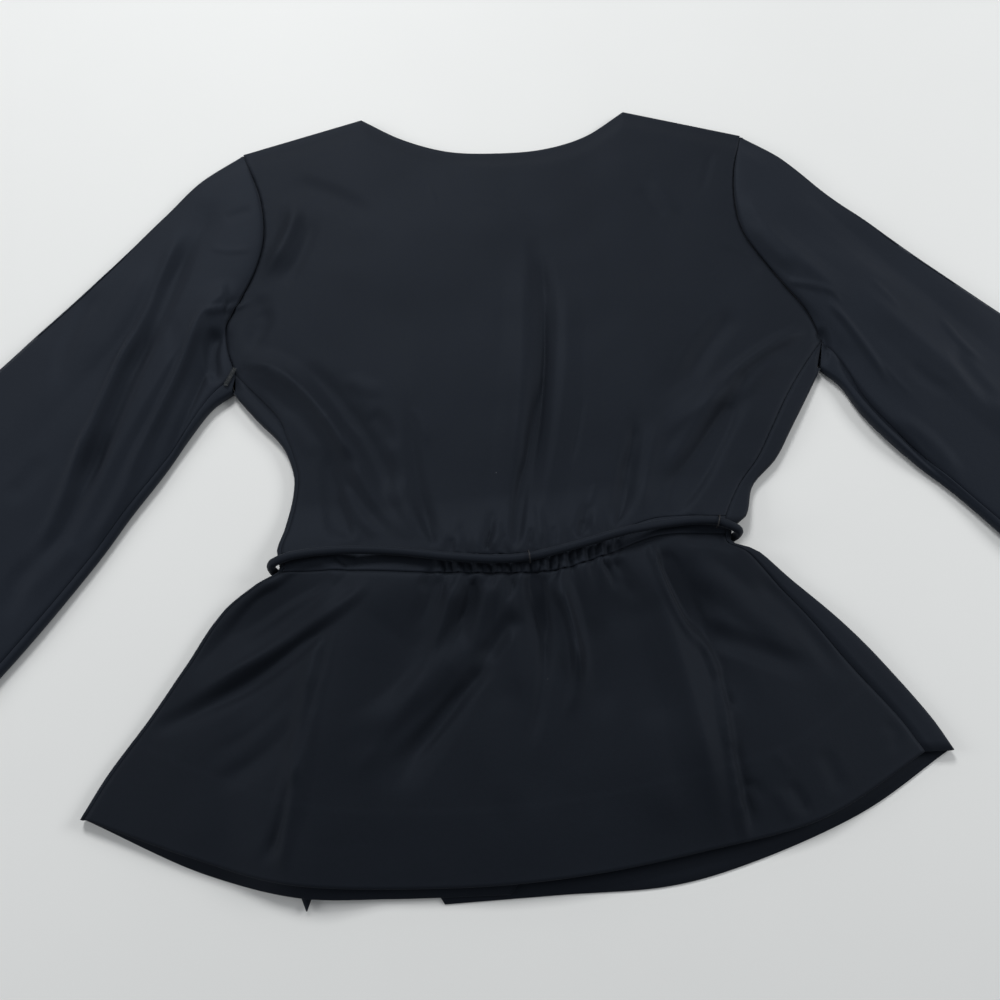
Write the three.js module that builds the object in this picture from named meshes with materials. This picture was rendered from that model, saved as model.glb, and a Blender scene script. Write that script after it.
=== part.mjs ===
// A wrap top in plain black crepe, laid flat with its back up, in millimetres.
// +Z is up, +Y points to the neck and +X to the wearer's right hand. The garment is drawn about its
// centre back waist, and the whole group is then moved so that its box stands centred on the origin.
import * as THREE from "three";

// Cloth and seams
const WALL = 1.0;
const HALF_WALL = WALL / 2;
const SEAM_GAP = 0.4;
const LAYER_STEP = 2.3;
const FLOOR_LAYER = HALF_WALL;
const TOP_LAYER = FLOOR_LAYER + 2 * LAYER_STEP;
const SHOULDER_LAYER = TOP_LAYER - WALL - SEAM_GAP;

// How far the upper cloth stands off the layers below it
const EDGE_LOFT = 1.8;
const BACK_LOFT = 4.5;
const PEPLUM_LOFT = 4.5;
const SLEEVE_LOFT = 7;
const LEAST_LOFT = 0.6;

// Turned edges: half the width of the turn, and the cloth between a turn and its seam
const LEFT_TURN = 1.6;
const RIGHT_TURN = 2.5;
const SLEEVE_TURN = 2.5;

// Waist
const CASING_HEIGHT = 13;
const GATHER_FROM = -50;
const GATHER_TO = 72;
const CASING_RIPPLES = 19;
const CASING_RIPPLE_HEIGHT = 1.0;
const SOFT_RIPPLES = 9;
const SOFT_RIPPLE_HEIGHT = 1.1;
const SOFT_RIPPLE_REACH = 34;

// Tie
const TIE_RADIUS = 3;
const TIE_SIDES = 8;
const TIE_STEPS = 66;
const TIE_CLEARANCE = 0.4;
const TIE_LIFT = 2 * TIE_RADIUS + 1.2;
const LIFT_CORE = 3;
const LIFT_REACH = 50;

// Rows and columns of the panels
const SIDE_ROWS = 8;
const SIDE_CROWDING = 1.45;
const ARMHOLE_ROWS = 9;
const PEPLUM_ROWS = 12;
const SLEEVE_ROWS = 13;
const TURN_STEPS = 4;
const STRIP_STEPS = 2;
const FRONT_COLUMNS = 18;
const BACK_GATHER_COLUMNS = 18;
const BACK_SIDE_COLUMNS = 8;
const RIPPLE_COLUMNS = 4;
const CASING_SIDE_COLUMNS = 10;

// The back casing's lower line, which is where the peplum starts
const WAIST = [
  { x: -166, y: -4 },
  { x: -115, y: -5 },
  { x: -47, y: -11 },
  { x: 25, y: -14 },
  { x: 60, y: -6 },
  { x: 100, y: 6 },
  { x: 157, y: 4 },
];

// Sides, upwards for the bodice and downwards for the peplum: where the side seam lies on top, and
// the garment's outer edge, where the front turns up. The armhole seam crosses the edge at a notch.
const LEFT_SIDE = [
  { y: -4, seam: -153.4, edge: -156.1 },
  { y: 3, seam: -152.6, edge: -155.2 },
  { y: 12, seam: -154, edge: -157 },
  { y: 28, seam: -149.5, edge: -152.6 },
  { y: 62, seam: -144, edge: -147 },
  { y: 84, seam: -148.3, edge: -152.5 },
  { y: 97, seam: -153, edge: -160.6 },
  { y: 110, seam: -158, edge: -172.6 },
  { y: 134, seam: -178, edge: -191.3 },
  { y: 147, seam: -190, edge: -197 },
];
const RIGHT_SIDE = [
  { y: 3, seam: 143.6, edge: 147.4 },
  { y: 9, seam: 144.4, edge: 148.8 },
  { y: 18, seam: 146, edge: 160 },
  { y: 42, seam: 160, edge: 169.6 },
  { y: 60, seam: 175, edge: 188 },
  { y: 83, seam: 189, edge: 203 },
  { y: 105, seam: 202, edge: 217 },
  { y: 128, seam: 218, edge: 231.3 },
  { y: 150, seam: 236, edge: 244 },
];
const LEFT_NOTCH = { x: -192, y: 134 };
const RIGHT_NOTCH = { x: 232, y: 128 };
const LEFT_FLARE = [
  { y: 3, seam: -152.6, edge: -155.2 },
  { y: -4, seam: -153.4, edge: -156.1 },
  { y: -11, seam: -166.5, edge: -169.6 },
  { y: -27, seam: -190, edge: -193 },
  { y: -63, seam: -214, edge: -217 },
  { y: -93, seam: -234, edge: -237 },
  { y: -127, seam: -258.5, edge: -261.8 },
  { y: -153, seam: -274, edge: -277 },
];
const RIGHT_FLARE = [
  { y: 9, seam: 144.4, edge: 148.8 },
  { y: 3, seam: 143.6, edge: 147.4 },
  { y: -1.5, seam: 144.6, edge: 148.4 },
  { y: -7, seam: 155, edge: 162.6 },
  { y: -14, seam: 162, edge: 171.5 },
  { y: -36, seam: 179, edge: 192.8 },
  { y: -57, seam: 194, edge: 212.1 },
  { y: -82, seam: 210, edge: 232.4 },
  { y: -122, seam: 239, edge: 259.3 },
  { y: -144, seam: 251, edge: 270 },
];

// Armhole seams, from the underarm to the shoulder point
const LEFT_ARMHOLE = [
  { x: -190, y: 147 },
  { x: -197, y: 170 },
  { x: -198, y: 188 },
  { x: -189, y: 208 },
  { x: -177, y: 236 },
  { x: -172, y: 262 },
  { x: -175, y: 296 },
  { x: -190, y: 341.5 },
];
const RIGHT_ARMHOLE = [
  { x: 236, y: 150 },
  { x: 229, y: 173 },
  { x: 216, y: 195 },
  { x: 203, y: 219 },
  { x: 192, y: 244 },
  { x: 189, y: 267 },
  { x: 192, y: 300 },
  { x: 202.7, y: 336 },
];

// Back neck, between the two ends of the shoulder seams
const NECK = [
  { x: -97, y: 369.6 },
  { x: -65.6, y: 349 },
  { x: -30, y: 335 },
  { x: 7, y: 331 },
  { x: 46, y: 332.6 },
  { x: 79.8, y: 342.8 },
  { x: 112.4, y: 365 },
];

// Hems, from left to right
const BACK_HEM = [
  { x: -274, y: -153 },
  { x: -210.5, y: -178 },
  { x: -150, y: -197.5 },
  { x: -51, y: -206 },
  { x: 24, y: -204.4 },
  { x: 104, y: -194.6 },
  { x: 181, y: -179.4 },
  { x: 251, y: -144 },
];
const INNER_FRONT_HEM = [
  { x: -274, y: -153 },
  { x: -200.8, y: -189 },
  { x: -142, y: -206 },
  { x: -88, y: -210 },
  { x: -15, y: -212 },
];
const OUTER_FRONT_HEM = [
  { x: -55, y: -215 },
  { x: 15, y: -214 },
  { x: 82, y: -213 },
  { x: 129.6, y: -203.8 },
  { x: 207.7, y: -177.3 },
  { x: 267, y: -144 },
];

// Free edges of the two fronts, from the neck down to the waist and on to the hem
const OUTER_WRAP = { neck: { x: 112.4, y: 365 }, waist: { x: -140, y: 2 }, hem: { x: -55, y: -215 } };
const INNER_WRAP = { neck: { x: -97, y: 369.6 }, waist: { x: 132, y: 12 }, hem: { x: -15, y: -212 } };
const WRAP_BOW = 12;

// Sleeves, a row for each section from the armhole to the cuff: ends on the upper and lower edge,
// and how far the underarm seam lies inside the lower edge
const LEFT_SLEEVE = [
  { ux: -190, uy: 341.5, lx: -192, ly: 134, seam: 13 },
  { ux: -222.8, uy: 315.4, lx: -207.6, ly: 122, seam: 9 },
  { ux: -249.6, uy: 284.6, lx: -222.2, ly: 101.2, seam: 6 },
  { ux: -282.8, uy: 246, lx: -238.6, ly: 74.8, seam: 5 },
  { ux: -321.2, uy: 204.4, lx: -259.2, ly: 45.6, seam: 5 },
  { ux: -359.4, uy: 162.5, lx: -285, ly: 6.8, seam: 5 },
  { ux: -420, uy: 98, lx: -334.6, ly: -57.6, seam: 5 },
  { ux: -500, uy: 10, lx: -402, ly: -132, seam: 5 },
  { ux: -590, uy: -88, lx: -484, ly: -192, seam: 5 },
];
const RIGHT_SLEEVE = [
  { ux: 202.7, uy: 336, lx: 232, ly: 128, seam: 22 },
  { ux: 229.4, uy: 312.3, lx: 245, ly: 113.4, seam: 15 },
  { ux: 260.6, uy: 276.6, lx: 255, ly: 92.7, seam: 11 },
  { ux: 295.3, uy: 241.4, lx: 268.4, ly: 72.5, seam: 9 },
  { ux: 332.6, uy: 202.6, lx: 288.4, ly: 48.5, seam: 7 },
  { ux: 370.2, uy: 165.2, lx: 312.7, ly: 23, seam: 5 },
  { ux: 438, uy: 99.8, lx: 364.2, ly: -39.8, seam: 5 },
  { ux: 519, uy: 20.8, lx: 433, ly: -113, seam: 5 },
  { ux: 620, uy: -78, lx: 518, ly: -180, seam: 5 },
];

// Largest folds of the upper cloth: each runs from one end past a middle point to the other end.
// wide is half its width, high is up for a ridge and down for a trough, and starts and ends are the
// shares of that height at its two ends.
const FOLDS = [
  // Back bodice
  { ax: 36, ay: 244, mx: 32, my: 150, bx: 6, by: 8, wide: 11, high: -5, starts: 0.3, ends: 1.2 },
  { ax: 22, ay: 240, mx: 15, my: 140, bx: -4, by: 20, wide: 16, high: 3, starts: 0.3, ends: 1 },
  { ax: 52, ay: 220, mx: 44, my: 120, bx: 18, by: 14, wide: 14, high: 2.5, starts: 0.3, ends: 1 },
  { ax: -190, ay: 160, mx: -134, my: 122, bx: -78, by: 32, wide: 17, high: 6, starts: 0.6, ends: 0.8 },
  { ax: -128, ay: 150, mx: -98, my: 90, bx: -70, by: 44, wide: 18, high: -5, starts: 0.3, ends: 0.6 },
  { ax: -125, ay: 88, mx: -121, my: 50, bx: -115, by: 14, wide: 10, high: -5, starts: 0.2, ends: 1 },
  { ax: -66, ay: 124, mx: -62, my: 56, bx: -49, by: 8, wide: 8, high: -4, starts: 0.1, ends: 1.2 },
  { ax: -84, ay: 104, mx: -76, my: 54, bx: -62, by: 12, wide: 12, high: 3, starts: 0.2, ends: 1 },
  { ax: -12, ay: 34, mx: -13, my: 20, bx: -14, by: 4, wide: 6, high: -3, starts: 0.1, ends: 1 },
  { ax: 56, ay: 36, mx: 50, my: 22, bx: 44, by: 8, wide: 7, high: -3, starts: 0.1, ends: 1 },
  { ax: 94, ay: 104, mx: 84, my: 58, bx: 71, by: 14, wide: 9, high: -4.5, starts: 0.1, ends: 1.1 },
  { ax: 110, ay: 96, mx: 98, my: 56, bx: 86, by: 20, wide: 11, high: 3, starts: 0.2, ends: 1 },
  { ax: 178, ay: 130, mx: 140, my: 70, bx: 104, by: 22, wide: 16, high: -6, starts: 0.4, ends: 1 },
  { ax: 222, ay: 150, mx: 164, my: 116, bx: 100, by: 72, wide: 16, high: 5, starts: 0.8, ends: 0.3 },
  { ax: 176, ay: 188, mx: 140, my: 138, bx: 104, by: 100, wide: 17, high: -3, starts: 0.3, ends: 0.4 },
  { ax: -154, ay: 300, mx: -152, my: 262, bx: -176, by: 222, wide: 13, high: 4, starts: 0.3, ends: 0.7 },
  { ax: -170, ay: 214, mx: -176, my: 190, bx: -176, by: 160, wide: 11, high: -4, starts: 0.3, ends: 0.5 },
  // Back peplum
  { ax: 12, ay: -12, mx: 16, my: -45, bx: 16, by: -96, wide: 11, high: -7, starts: 1, ends: 0 },
  { ax: 27, ay: -16, mx: 36, my: -55, bx: 37, by: -110, wide: 10, high: 5, starts: 1, ends: 0.1 },
  { ax: -1, ay: -18, mx: -4, my: -60, bx: 2, by: -110, wide: 13, high: 4, starts: 1, ends: 0.1 },
  { ax: -24, ay: -14, mx: -32, my: -38, bx: -46, by: -64, wide: 9, high: -5, starts: 1, ends: 0 },
  { ax: -41, ay: -16, mx: -50, my: -50, bx: -76, by: -100, wide: 12, high: 4, starts: 1, ends: 0.1 },
  { ax: -54, ay: -10, mx: -58, my: -30, bx: -70, by: -54, wide: 9, high: -4, starts: 1, ends: 0 },
  { ax: 66, ay: -8, mx: 72, my: -22, bx: 82, by: -44, wide: 8, high: -4, starts: 1, ends: 0 },
  { ax: 84, ay: 0, mx: 103, my: -84, bx: 118, by: -200, wide: 22, high: 8, starts: 0.6, ends: 0.7 },
  { ax: 104, ay: 2, mx: 124, my: -66, bx: 146, by: -126, wide: 17, high: -6, starts: 0.9, ends: 0.1 },
  { ax: -156, ay: -14, mx: -184, my: -38, bx: -216, by: -72, wide: 13, high: -5, starts: 0.6, ends: 0.4 },
  { ax: -110, ay: -18, mx: -152, my: -48, bx: -224, by: -92, wide: 13, high: 4, starts: 0.6, ends: 0.6 },
  { ax: -124, ay: -36, mx: -172, my: -72, bx: -232, by: -104, wide: 13, high: -6, starts: 0.4, ends: 0.3 },
  { ax: -133, ay: -74, mx: -160, my: -110, bx: -208, by: -127, wide: 15, high: -5, starts: 0.5, ends: 0.2 },
  { ax: -130, ay: -46, mx: -140, my: -118, bx: -154, by: -190, wide: 11, high: 4, starts: 0.5, ends: 0.8 },
  { ax: -35, ay: -80, mx: -60, my: -118, bx: -88, by: -150, wide: 15, high: -6, starts: 0.4, ends: 0.3 },
  { ax: -58, ay: -74, mx: -84, my: -110, bx: -112, by: -142, wide: 14, high: 4, starts: 0.4, ends: 0.3 },
  // Sleeves
  { ax: -192, ay: 204, mx: -224, my: 176, bx: -300, by: 20, wide: 18, high: 6, starts: 0.7, ends: 0.4 },
  { ax: -204, ay: 186, mx: -208, my: 160, bx: -232, by: 110, wide: 12, high: -4, starts: 0.8, ends: 0.2 },
  { ax: -212, ay: 300, mx: -246, my: 220, bx: -352, by: 70, wide: 20, high: -5, starts: 0.4, ends: 0.4 },
  { ax: -420, ay: 30, mx: -470, my: -40, bx: -530, by: -110, wide: 24, high: 5, starts: 0.3, ends: 0.5 },
  { ax: 198, ay: 282, mx: 214, my: 232, bx: 262, by: 176, wide: 15, high: 4, starts: 0.3, ends: 0.8 },
  { ax: 236, ay: 288, mx: 300, my: 206, bx: 384, by: 96, wide: 20, high: -5, starts: 0.3, ends: 0.4 },
  { ax: 262, ay: 196, mx: 320, my: 120, bx: 400, by: 24, wide: 20, high: 4, starts: 0.6, ends: 0.4 },
  { ax: 430, ay: 40, mx: 500, my: -36, bx: 570, by: -104, wide: 24, high: 5, starts: 0.3, ends: 0.5 },
];

// The tie's route: it is sewn under the outer front's edge, turns up over the left side, crosses the
// back, turns down over the right side and runs under the fronts to the hem. A row without a height
// lies on the cloth.
const TIE_UNDER = TIE_RADIUS + 0.3;
const TIE_ROUTE = [
  { x: -128, y: -3, z: TIE_UNDER },
  { x: -149, y: -4, z: TIE_UNDER },
  { x: -156, y: -3.8, z: 3.9 },
  { x: -160.7, y: -1, z: 9.4 },
  { x: -159.8, y: 1.2, z: 15.6 },
  { x: -154.6, y: 2.8, z: 18.9 },
  { x: -146, y: 5.3 },
  { x: -117, y: 7.3 },
  { x: -80, y: 4.6 },
  { x: -40, y: -2.2 },
  { x: -10, y: -5.6 },
  { x: 10.5, y: -5 },
  { x: 46, y: 1.8 },
  { x: 76, y: 7.8 },
  { x: 105, y: 12.7 },
  { x: 124, y: 13.6 },
  { x: 138.5, y: 12 },
  { x: 147, y: 8.2 },
  { x: 151.9, y: 5.9, z: 16.1 },
  { x: 152.6, y: 4.8, z: 9.8 },
  { x: 148.4, y: 3.6, z: 3.9 },
  { x: 138, y: 3, z: TIE_UNDER },
  { x: 100, y: 2, z: TIE_UNDER },
  { x: 40, y: -4, z: TIE_UNDER },
  { x: -30, y: -6, z: TIE_UNDER },
  { x: -80, y: -10, z: TIE_UNDER },
  { x: -108, y: -26, z: TIE_UNDER },
  { x: -122, y: -60, z: TIE_UNDER },
  { x: -130, y: -100, z: TIE_UNDER },
  { x: -139, y: -145, z: TIE_UNDER },
  { x: -141, y: -178, z: TIE_UNDER },
  { x: -138, y: -204.5, z: TIE_UNDER },
];
const LIFTED_FROM = 20;
const BACK_CARRIER = 11;
const SIDE_CARRIER = 16;
const TIP_LENGTH = 9;
const TIP_WIDTH = 8;
const HANGER_LOOP = { x: -190, y: 152, long: 16, wide: 3.2, thick: 1, degrees: 245 };
const CARRIER_WIDTH = 1.1;
const CARRIER_LEG = TIE_RADIUS + 0.1;

const CREPE = new THREE.MeshStandardMaterial({ color: 0x16181c, roughness: 0.85, metalness: 0 });
const THREAD = new THREE.MeshStandardMaterial({ color: 0x202226, roughness: 0.7, metalness: 0 });
const CLEAR_TAPE = new THREE.MeshStandardMaterial({ color: 0xb9bec4, roughness: 0.25, metalness: 0 });

const mix = (a, b, t) => a + (b - a) * t;
const mixPoint = (a, b, t) => ({ x: mix(a.x, b.x, t), y: mix(a.y, b.y, t) });
const bump = (t) => (Math.abs(t) < 1 ? (1 - t * t) ** 2 : 0);
const dome = (t) => Math.sin(Math.PI * Math.min(1, Math.max(0, t))) ** 0.7;

function smoothstep(from, to, value) {
  const t = Math.min(1, Math.max(0, (value - from) / (to - from)));
  return t * t * (3 - 2 * t);
}

// A column of a table at some value of another, on a smooth curve through the rows.
function lookUp(rows, along, column, value) {
  const rising = rows[rows.length - 1][along] > rows[0][along];
  const list = rising ? rows : [...rows].reverse();
  let k = 0;
  while (k < list.length - 2 && value > list[k + 1][along]) k++;
  const slope = (i) => {
    const a = list[Math.max(0, i - 1)];
    const b = list[Math.min(list.length - 1, i + 1)];
    return (b[column] - a[column]) / (b[along] - a[along]);
  };
  const a = list[k];
  const b = list[k + 1];
  const span = b[along] - a[along];
  const t = Math.min(1, Math.max(0, (value - a[along]) / span));
  const rise = b[column] - a[column];
  const bend = (1 - t) * (slope(k) * span - rise) - t * (slope(k + 1) * span - rise);
  return a[column] + rise * t + t * (1 - t) * bend;
}

// Points at equal shares of a smooth curve through a table's points.
function alongCurve(rows) {
  const points = rows.map((p) => new THREE.Vector3(p.x, p.y, 0));
  const curve = new THREE.CatmullRomCurve3(points, false, "centripetal");
  return (t) => {
    const p = curve.getPointAt(Math.min(1, Math.max(0, t)));
    return { x: p.x, y: p.y };
  };
}

const waistAt = (x) => lookUp(WAIST, "x", "y", x);

// Distance and share along a bent line through three points.
function nearCurve(fold, x, y) {
  const cx = 2 * fold.mx - (fold.ax + fold.bx) / 2;
  const cy = 2 * fold.my - (fold.ay + fold.by) / 2;
  const steps = 10;
  let best = { far: Infinity, share: 0 };
  let px = fold.ax;
  let py = fold.ay;
  for (let i = 1; i <= steps; i++) {
    const t = i / steps;
    const qx = (1 - t) ** 2 * fold.ax + 2 * t * (1 - t) * cx + t * t * fold.bx;
    const qy = (1 - t) ** 2 * fold.ay + 2 * t * (1 - t) * cy + t * t * fold.by;
    const dx = qx - px;
    const dy = qy - py;
    const s = Math.min(1, Math.max(0, ((x - px) * dx + (y - py) * dy) / (dx * dx + dy * dy)));
    const far = Math.hypot(x - px - s * dx, y - py - s * dy);
    if (far < best.far) best = { far, share: (i - 1 + s) / steps };
    px = qx;
    py = qy;
  }
  return best;
}

function foldHeight(x, y) {
  let sum = 0;
  for (const fold of FOLDS) {
    const { far, share } = nearCurve(fold, x, y);
    sum += fold.high * mix(fold.starts, fold.ends, share) * bump(far / fold.wide);
  }
  return sum;
}

// The cloth above the tie's hidden run is lifted over it.
function tieLift(x, y) {
  let far = Infinity;
  for (let i = LIFTED_FROM; i < TIE_ROUTE.length - 1; i++) {
    const a = TIE_ROUTE[i];
    const b = TIE_ROUTE[i + 1];
    const dx = b.x - a.x;
    const dy = b.y - a.y;
    const s = Math.min(1, Math.max(0, ((x - a.x) * dx + (y - a.y) * dy) / (dx * dx + dy * dy)));
    far = Math.min(far, Math.hypot(x - a.x - s * dx, y - a.y - s * dy));
  }
  const sewn = Math.hypot(Math.max(0, -158 - x, x + 126), y + 3.5);
  return TIE_LIFT * (1 - smoothstep(LIFT_CORE, LIFT_REACH, Math.min(far, sewn)));
}

// 1 between the two ends of the gathers, fading to 0 past them.
function gatheredZone(x, soft) {
  const entered = smoothstep(GATHER_FROM - soft, GATHER_FROM + soft, x);
  return entered * (1 - smoothstep(GATHER_TO - soft, GATHER_TO + soft, x));
}

// Soft gathers of the bodice and peplum, which die out away from the casing.
function softGathers(x, y) {
  const away = Math.abs(y - waistAt(x) - CASING_HEIGHT / 2);
  const side = gatheredZone(x, 8);
  const wave = Math.cos((2 * Math.PI * SOFT_RIPPLES * (x - GATHER_FROM)) / (GATHER_TO - GATHER_FROM));
  return SOFT_RIPPLE_HEIGHT * wave * side * (1 - smoothstep(4, SOFT_RIPPLE_REACH, away));
}

// Middle of the upper cloth at a place, for its loft there.
function upperCloth(x, y, loft) {
  const free = loft + foldHeight(x, y) + softGathers(x, y);
  const held = 0.5 * (free + Math.sqrt(free * free + LEAST_LOFT * LEAST_LOFT * 4));
  return TOP_LAYER + tieLift(x, y) + held;
}

// The upper cloth comes down to the shoulder seam; above is the share of the armhole below it.
const AT_SHOULDER = 0.1;
const shoulderDrop = (height, below) => mix(TOP_LAYER, height, smoothstep(0, AT_SHOULDER, below));

// Outer front's free edge as one bent line; inside is positive to its right.
function insideOuterWrap(x, y) {
  const { neck, waist, hem } = OUTER_WRAP;
  const [a, b] = y > waist.y ? [waist, neck] : [hem, waist];
  const long = Math.hypot(b.x - a.x, b.y - a.y);
  return ((x - a.x) * (b.y - a.y) - (y - a.y) * (b.x - a.x)) / long;
}

// Middle of each front's lower cloth. The inner front rests on the outer one where that lies below.
const outerFront = (x, y) => FLOOR_LAYER + tieLift(x, y);
const innerFront = (x, y) =>
  FLOOR_LAYER + tieLift(x, y) + LAYER_STEP * smoothstep(-72, -36, insideOuterWrap(x, y));

// A patch between four edges, each a function of its share: bottom and top run from left to right.
function patch(bottom, top, left, right) {
  const corners = [bottom(0), bottom(1), top(0), top(1)];
  return (u, v) => {
    const across = mixPoint(bottom(u), top(u), v);
    const up = mixPoint(left(v), right(v), u);
    const flat = mixPoint(mixPoint(corners[0], corners[1], u), mixPoint(corners[2], corners[3], u), v);
    return { x: across.x + up.x - flat.x, y: across.y + up.y - flat.y };
  };
}

// A closed wall about a grid of middle points: rows of THREE.Vector3, WALL thick along the normals.
// A row that is shorter than its neighbour leaves that corner of the grid out.
function wall(grid) {
  const has = (j, i) => j >= 0 && i >= 0 && j < grid.length && i < grid[j].length;
  const cell = (j, i) => has(j, i) && has(j, i + 1) && has(j + 1, i) && has(j + 1, i + 1);
  const near = (j, i, dj, di) => (has(j + dj, i + di) ? grid[j + dj][i + di] : grid[j][i]);
  const offset = (j, i) => {
    const along = new THREE.Vector3().subVectors(near(j, i, 0, 1), near(j, i, 0, -1));
    const up = new THREE.Vector3().subVectors(near(j, i, 1, 0), near(j, i, -1, 0));
    const normal = new THREE.Vector3().crossVectors(along, up).normalize();
    // At a seam the wall's rim stands upright.
    const rims = [];
    if (!(cell(j, i) || cell(j, i - 1)) || !(cell(j - 1, i) || cell(j - 1, i - 1))) rims.push([along, up]);
    if (!(cell(j, i) || cell(j - 1, i)) || !(cell(j, i - 1) || cell(j - 1, i - 1))) rims.push([up, along]);
    for (const [line, across] of rims) {
      const steep = Math.hypot(line.x, line.y) < 0.5 * Math.abs(line.z);
      const flat = steep ? new THREE.Vector3(across.x, across.y, 0) : new THREE.Vector3(line.y, -line.x, 0);
      flat.normalize();
      normal.addScaledVector(flat, -normal.dot(flat)).normalize();
    }
    return normal.multiplyScalar(HALF_WALL);
  };
  const starts = [0];
  for (const row of grid) starts.push(starts[starts.length - 1] + row.length);
  const count = starts[grid.length];
  const outer = (j, i) => starts[j] + i;
  const inner = (j, i) => count + starts[j] + i;
  const positions = new Float32Array(6 * count);
  grid.forEach((row, j) =>
    row.forEach((middle, i) => {
      const half = offset(j, i);
      middle.clone().add(half).toArray(positions, 3 * outer(j, i));
      middle.clone().sub(half).toArray(positions, 3 * inner(j, i));
    }),
  );
  const faces = [];
  const quad = (a, b, c, d) => faces.push(a, b, c, a, c, d);
  for (let j = 0; j < grid.length - 1; j++) {
    for (let i = 0; i < grid[j].length - 1; i++) {
      if (!cell(j, i)) continue;
      // Each cell is split along its shorter diagonal.
      const rising = grid[j][i].distanceTo(grid[j + 1][i + 1]);
      const falling = grid[j][i + 1].distanceTo(grid[j + 1][i]);
      if (rising <= falling) {
        quad(outer(j, i), outer(j, i + 1), outer(j + 1, i + 1), outer(j + 1, i));
        quad(inner(j, i), inner(j + 1, i), inner(j + 1, i + 1), inner(j, i + 1));
      } else {
        quad(outer(j, i + 1), outer(j + 1, i + 1), outer(j + 1, i), outer(j, i));
        quad(inner(j + 1, i), inner(j + 1, i + 1), inner(j, i + 1), inner(j, i));
      }
      if (!cell(j - 1, i)) quad(inner(j, i), inner(j, i + 1), outer(j, i + 1), outer(j, i));
      if (!cell(j + 1, i)) quad(outer(j + 1, i), outer(j + 1, i + 1), inner(j + 1, i + 1), inner(j + 1, i));
      if (!cell(j, i - 1)) quad(outer(j, i), outer(j + 1, i), inner(j + 1, i), inner(j, i));
      if (!cell(j, i + 1)) quad(inner(j, i + 1), inner(j + 1, i + 1), outer(j + 1, i + 1), outer(j, i + 1));
    }
  }
  const geometry = new THREE.BufferGeometry();
  geometry.setAttribute("position", new THREE.BufferAttribute(positions, 3));
  geometry.setIndex(faces);
  return geometry;
}

const garment = new THREE.Group();

function addPiece(name, geometry, material) {
  const mesh = new THREE.Mesh(geometry, material);
  mesh.name = name;
  garment.add(mesh);
  return mesh;
}

// Shares of the rows up the bodice, the same for its back and both fronts
const UNDERARM_SHARE = 0.42;
const bodiceRows = [
  ...Array.from({ length: SIDE_ROWS }, (_, j) => UNDERARM_SHARE * (j / SIDE_ROWS) ** SIDE_CROWDING),
  ...Array.from({ length: ARMHOLE_ROWS + 1 }, (_, j) => mix(UNDERARM_SHARE, 1, j / ARMHOLE_ROWS)),
];

// A vertical edge of the bodice by its share: up the side as far as the notch, where the seam on top
// runs on to the underarm, and then up the armhole.
function bodiceEdge(side, column, armhole, notch) {
  const onTop = column === "seam";
  const hole = alongCurve(onTop ? armhole : [notch, ...armhole.slice(1)]);
  const lowest = waistAt(lookUp(side, "y", "seam", 12)) + CASING_HEIGHT;
  return (v) => {
    if (v > UNDERARM_SHARE) return hole((v - UNDERARM_SHARE) / (1 - UNDERARM_SHARE));
    const share = v / UNDERARM_SHARE;
    const y = mix(lowest, notch.y, share) + (onTop ? (armhole[0].y - notch.y) * share ** 6 : 0);
    return { x: lookUp(side, "y", column, y), y };
  };
}

// A row of points whose two ends are drawn in by a gap.
function withGap(list, gap) {
  const points = [...list];
  const drawnIn = (a, b) => mixPoint(a, b, gap / Math.hypot(b.x - a.x, b.y - a.y));
  const n = points.length - 1;
  points[0] = drawnIn(points[0], points[1]);
  points[n] = drawnIn(points[n], points[n - 1]);
  return points;
}

// Columns of an upper panel, closest where it is gathered
function gatheredColumns(left, right, zoneSteps, outsideSteps) {
  const from = (GATHER_FROM - left) / (right - left);
  const to = (GATHER_TO - left) / (right - left);
  return [
    ...Array.from({ length: outsideSteps }, (_, i) => (from * i) / outsideSteps),
    ...Array.from({ length: zoneSteps }, (_, i) => mix(from, to, i / zoneSteps)),
    ...Array.from({ length: outsideSteps + 1 }, (_, i) => mix(to, 1, i / outsideSteps)),
  ];
}

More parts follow.
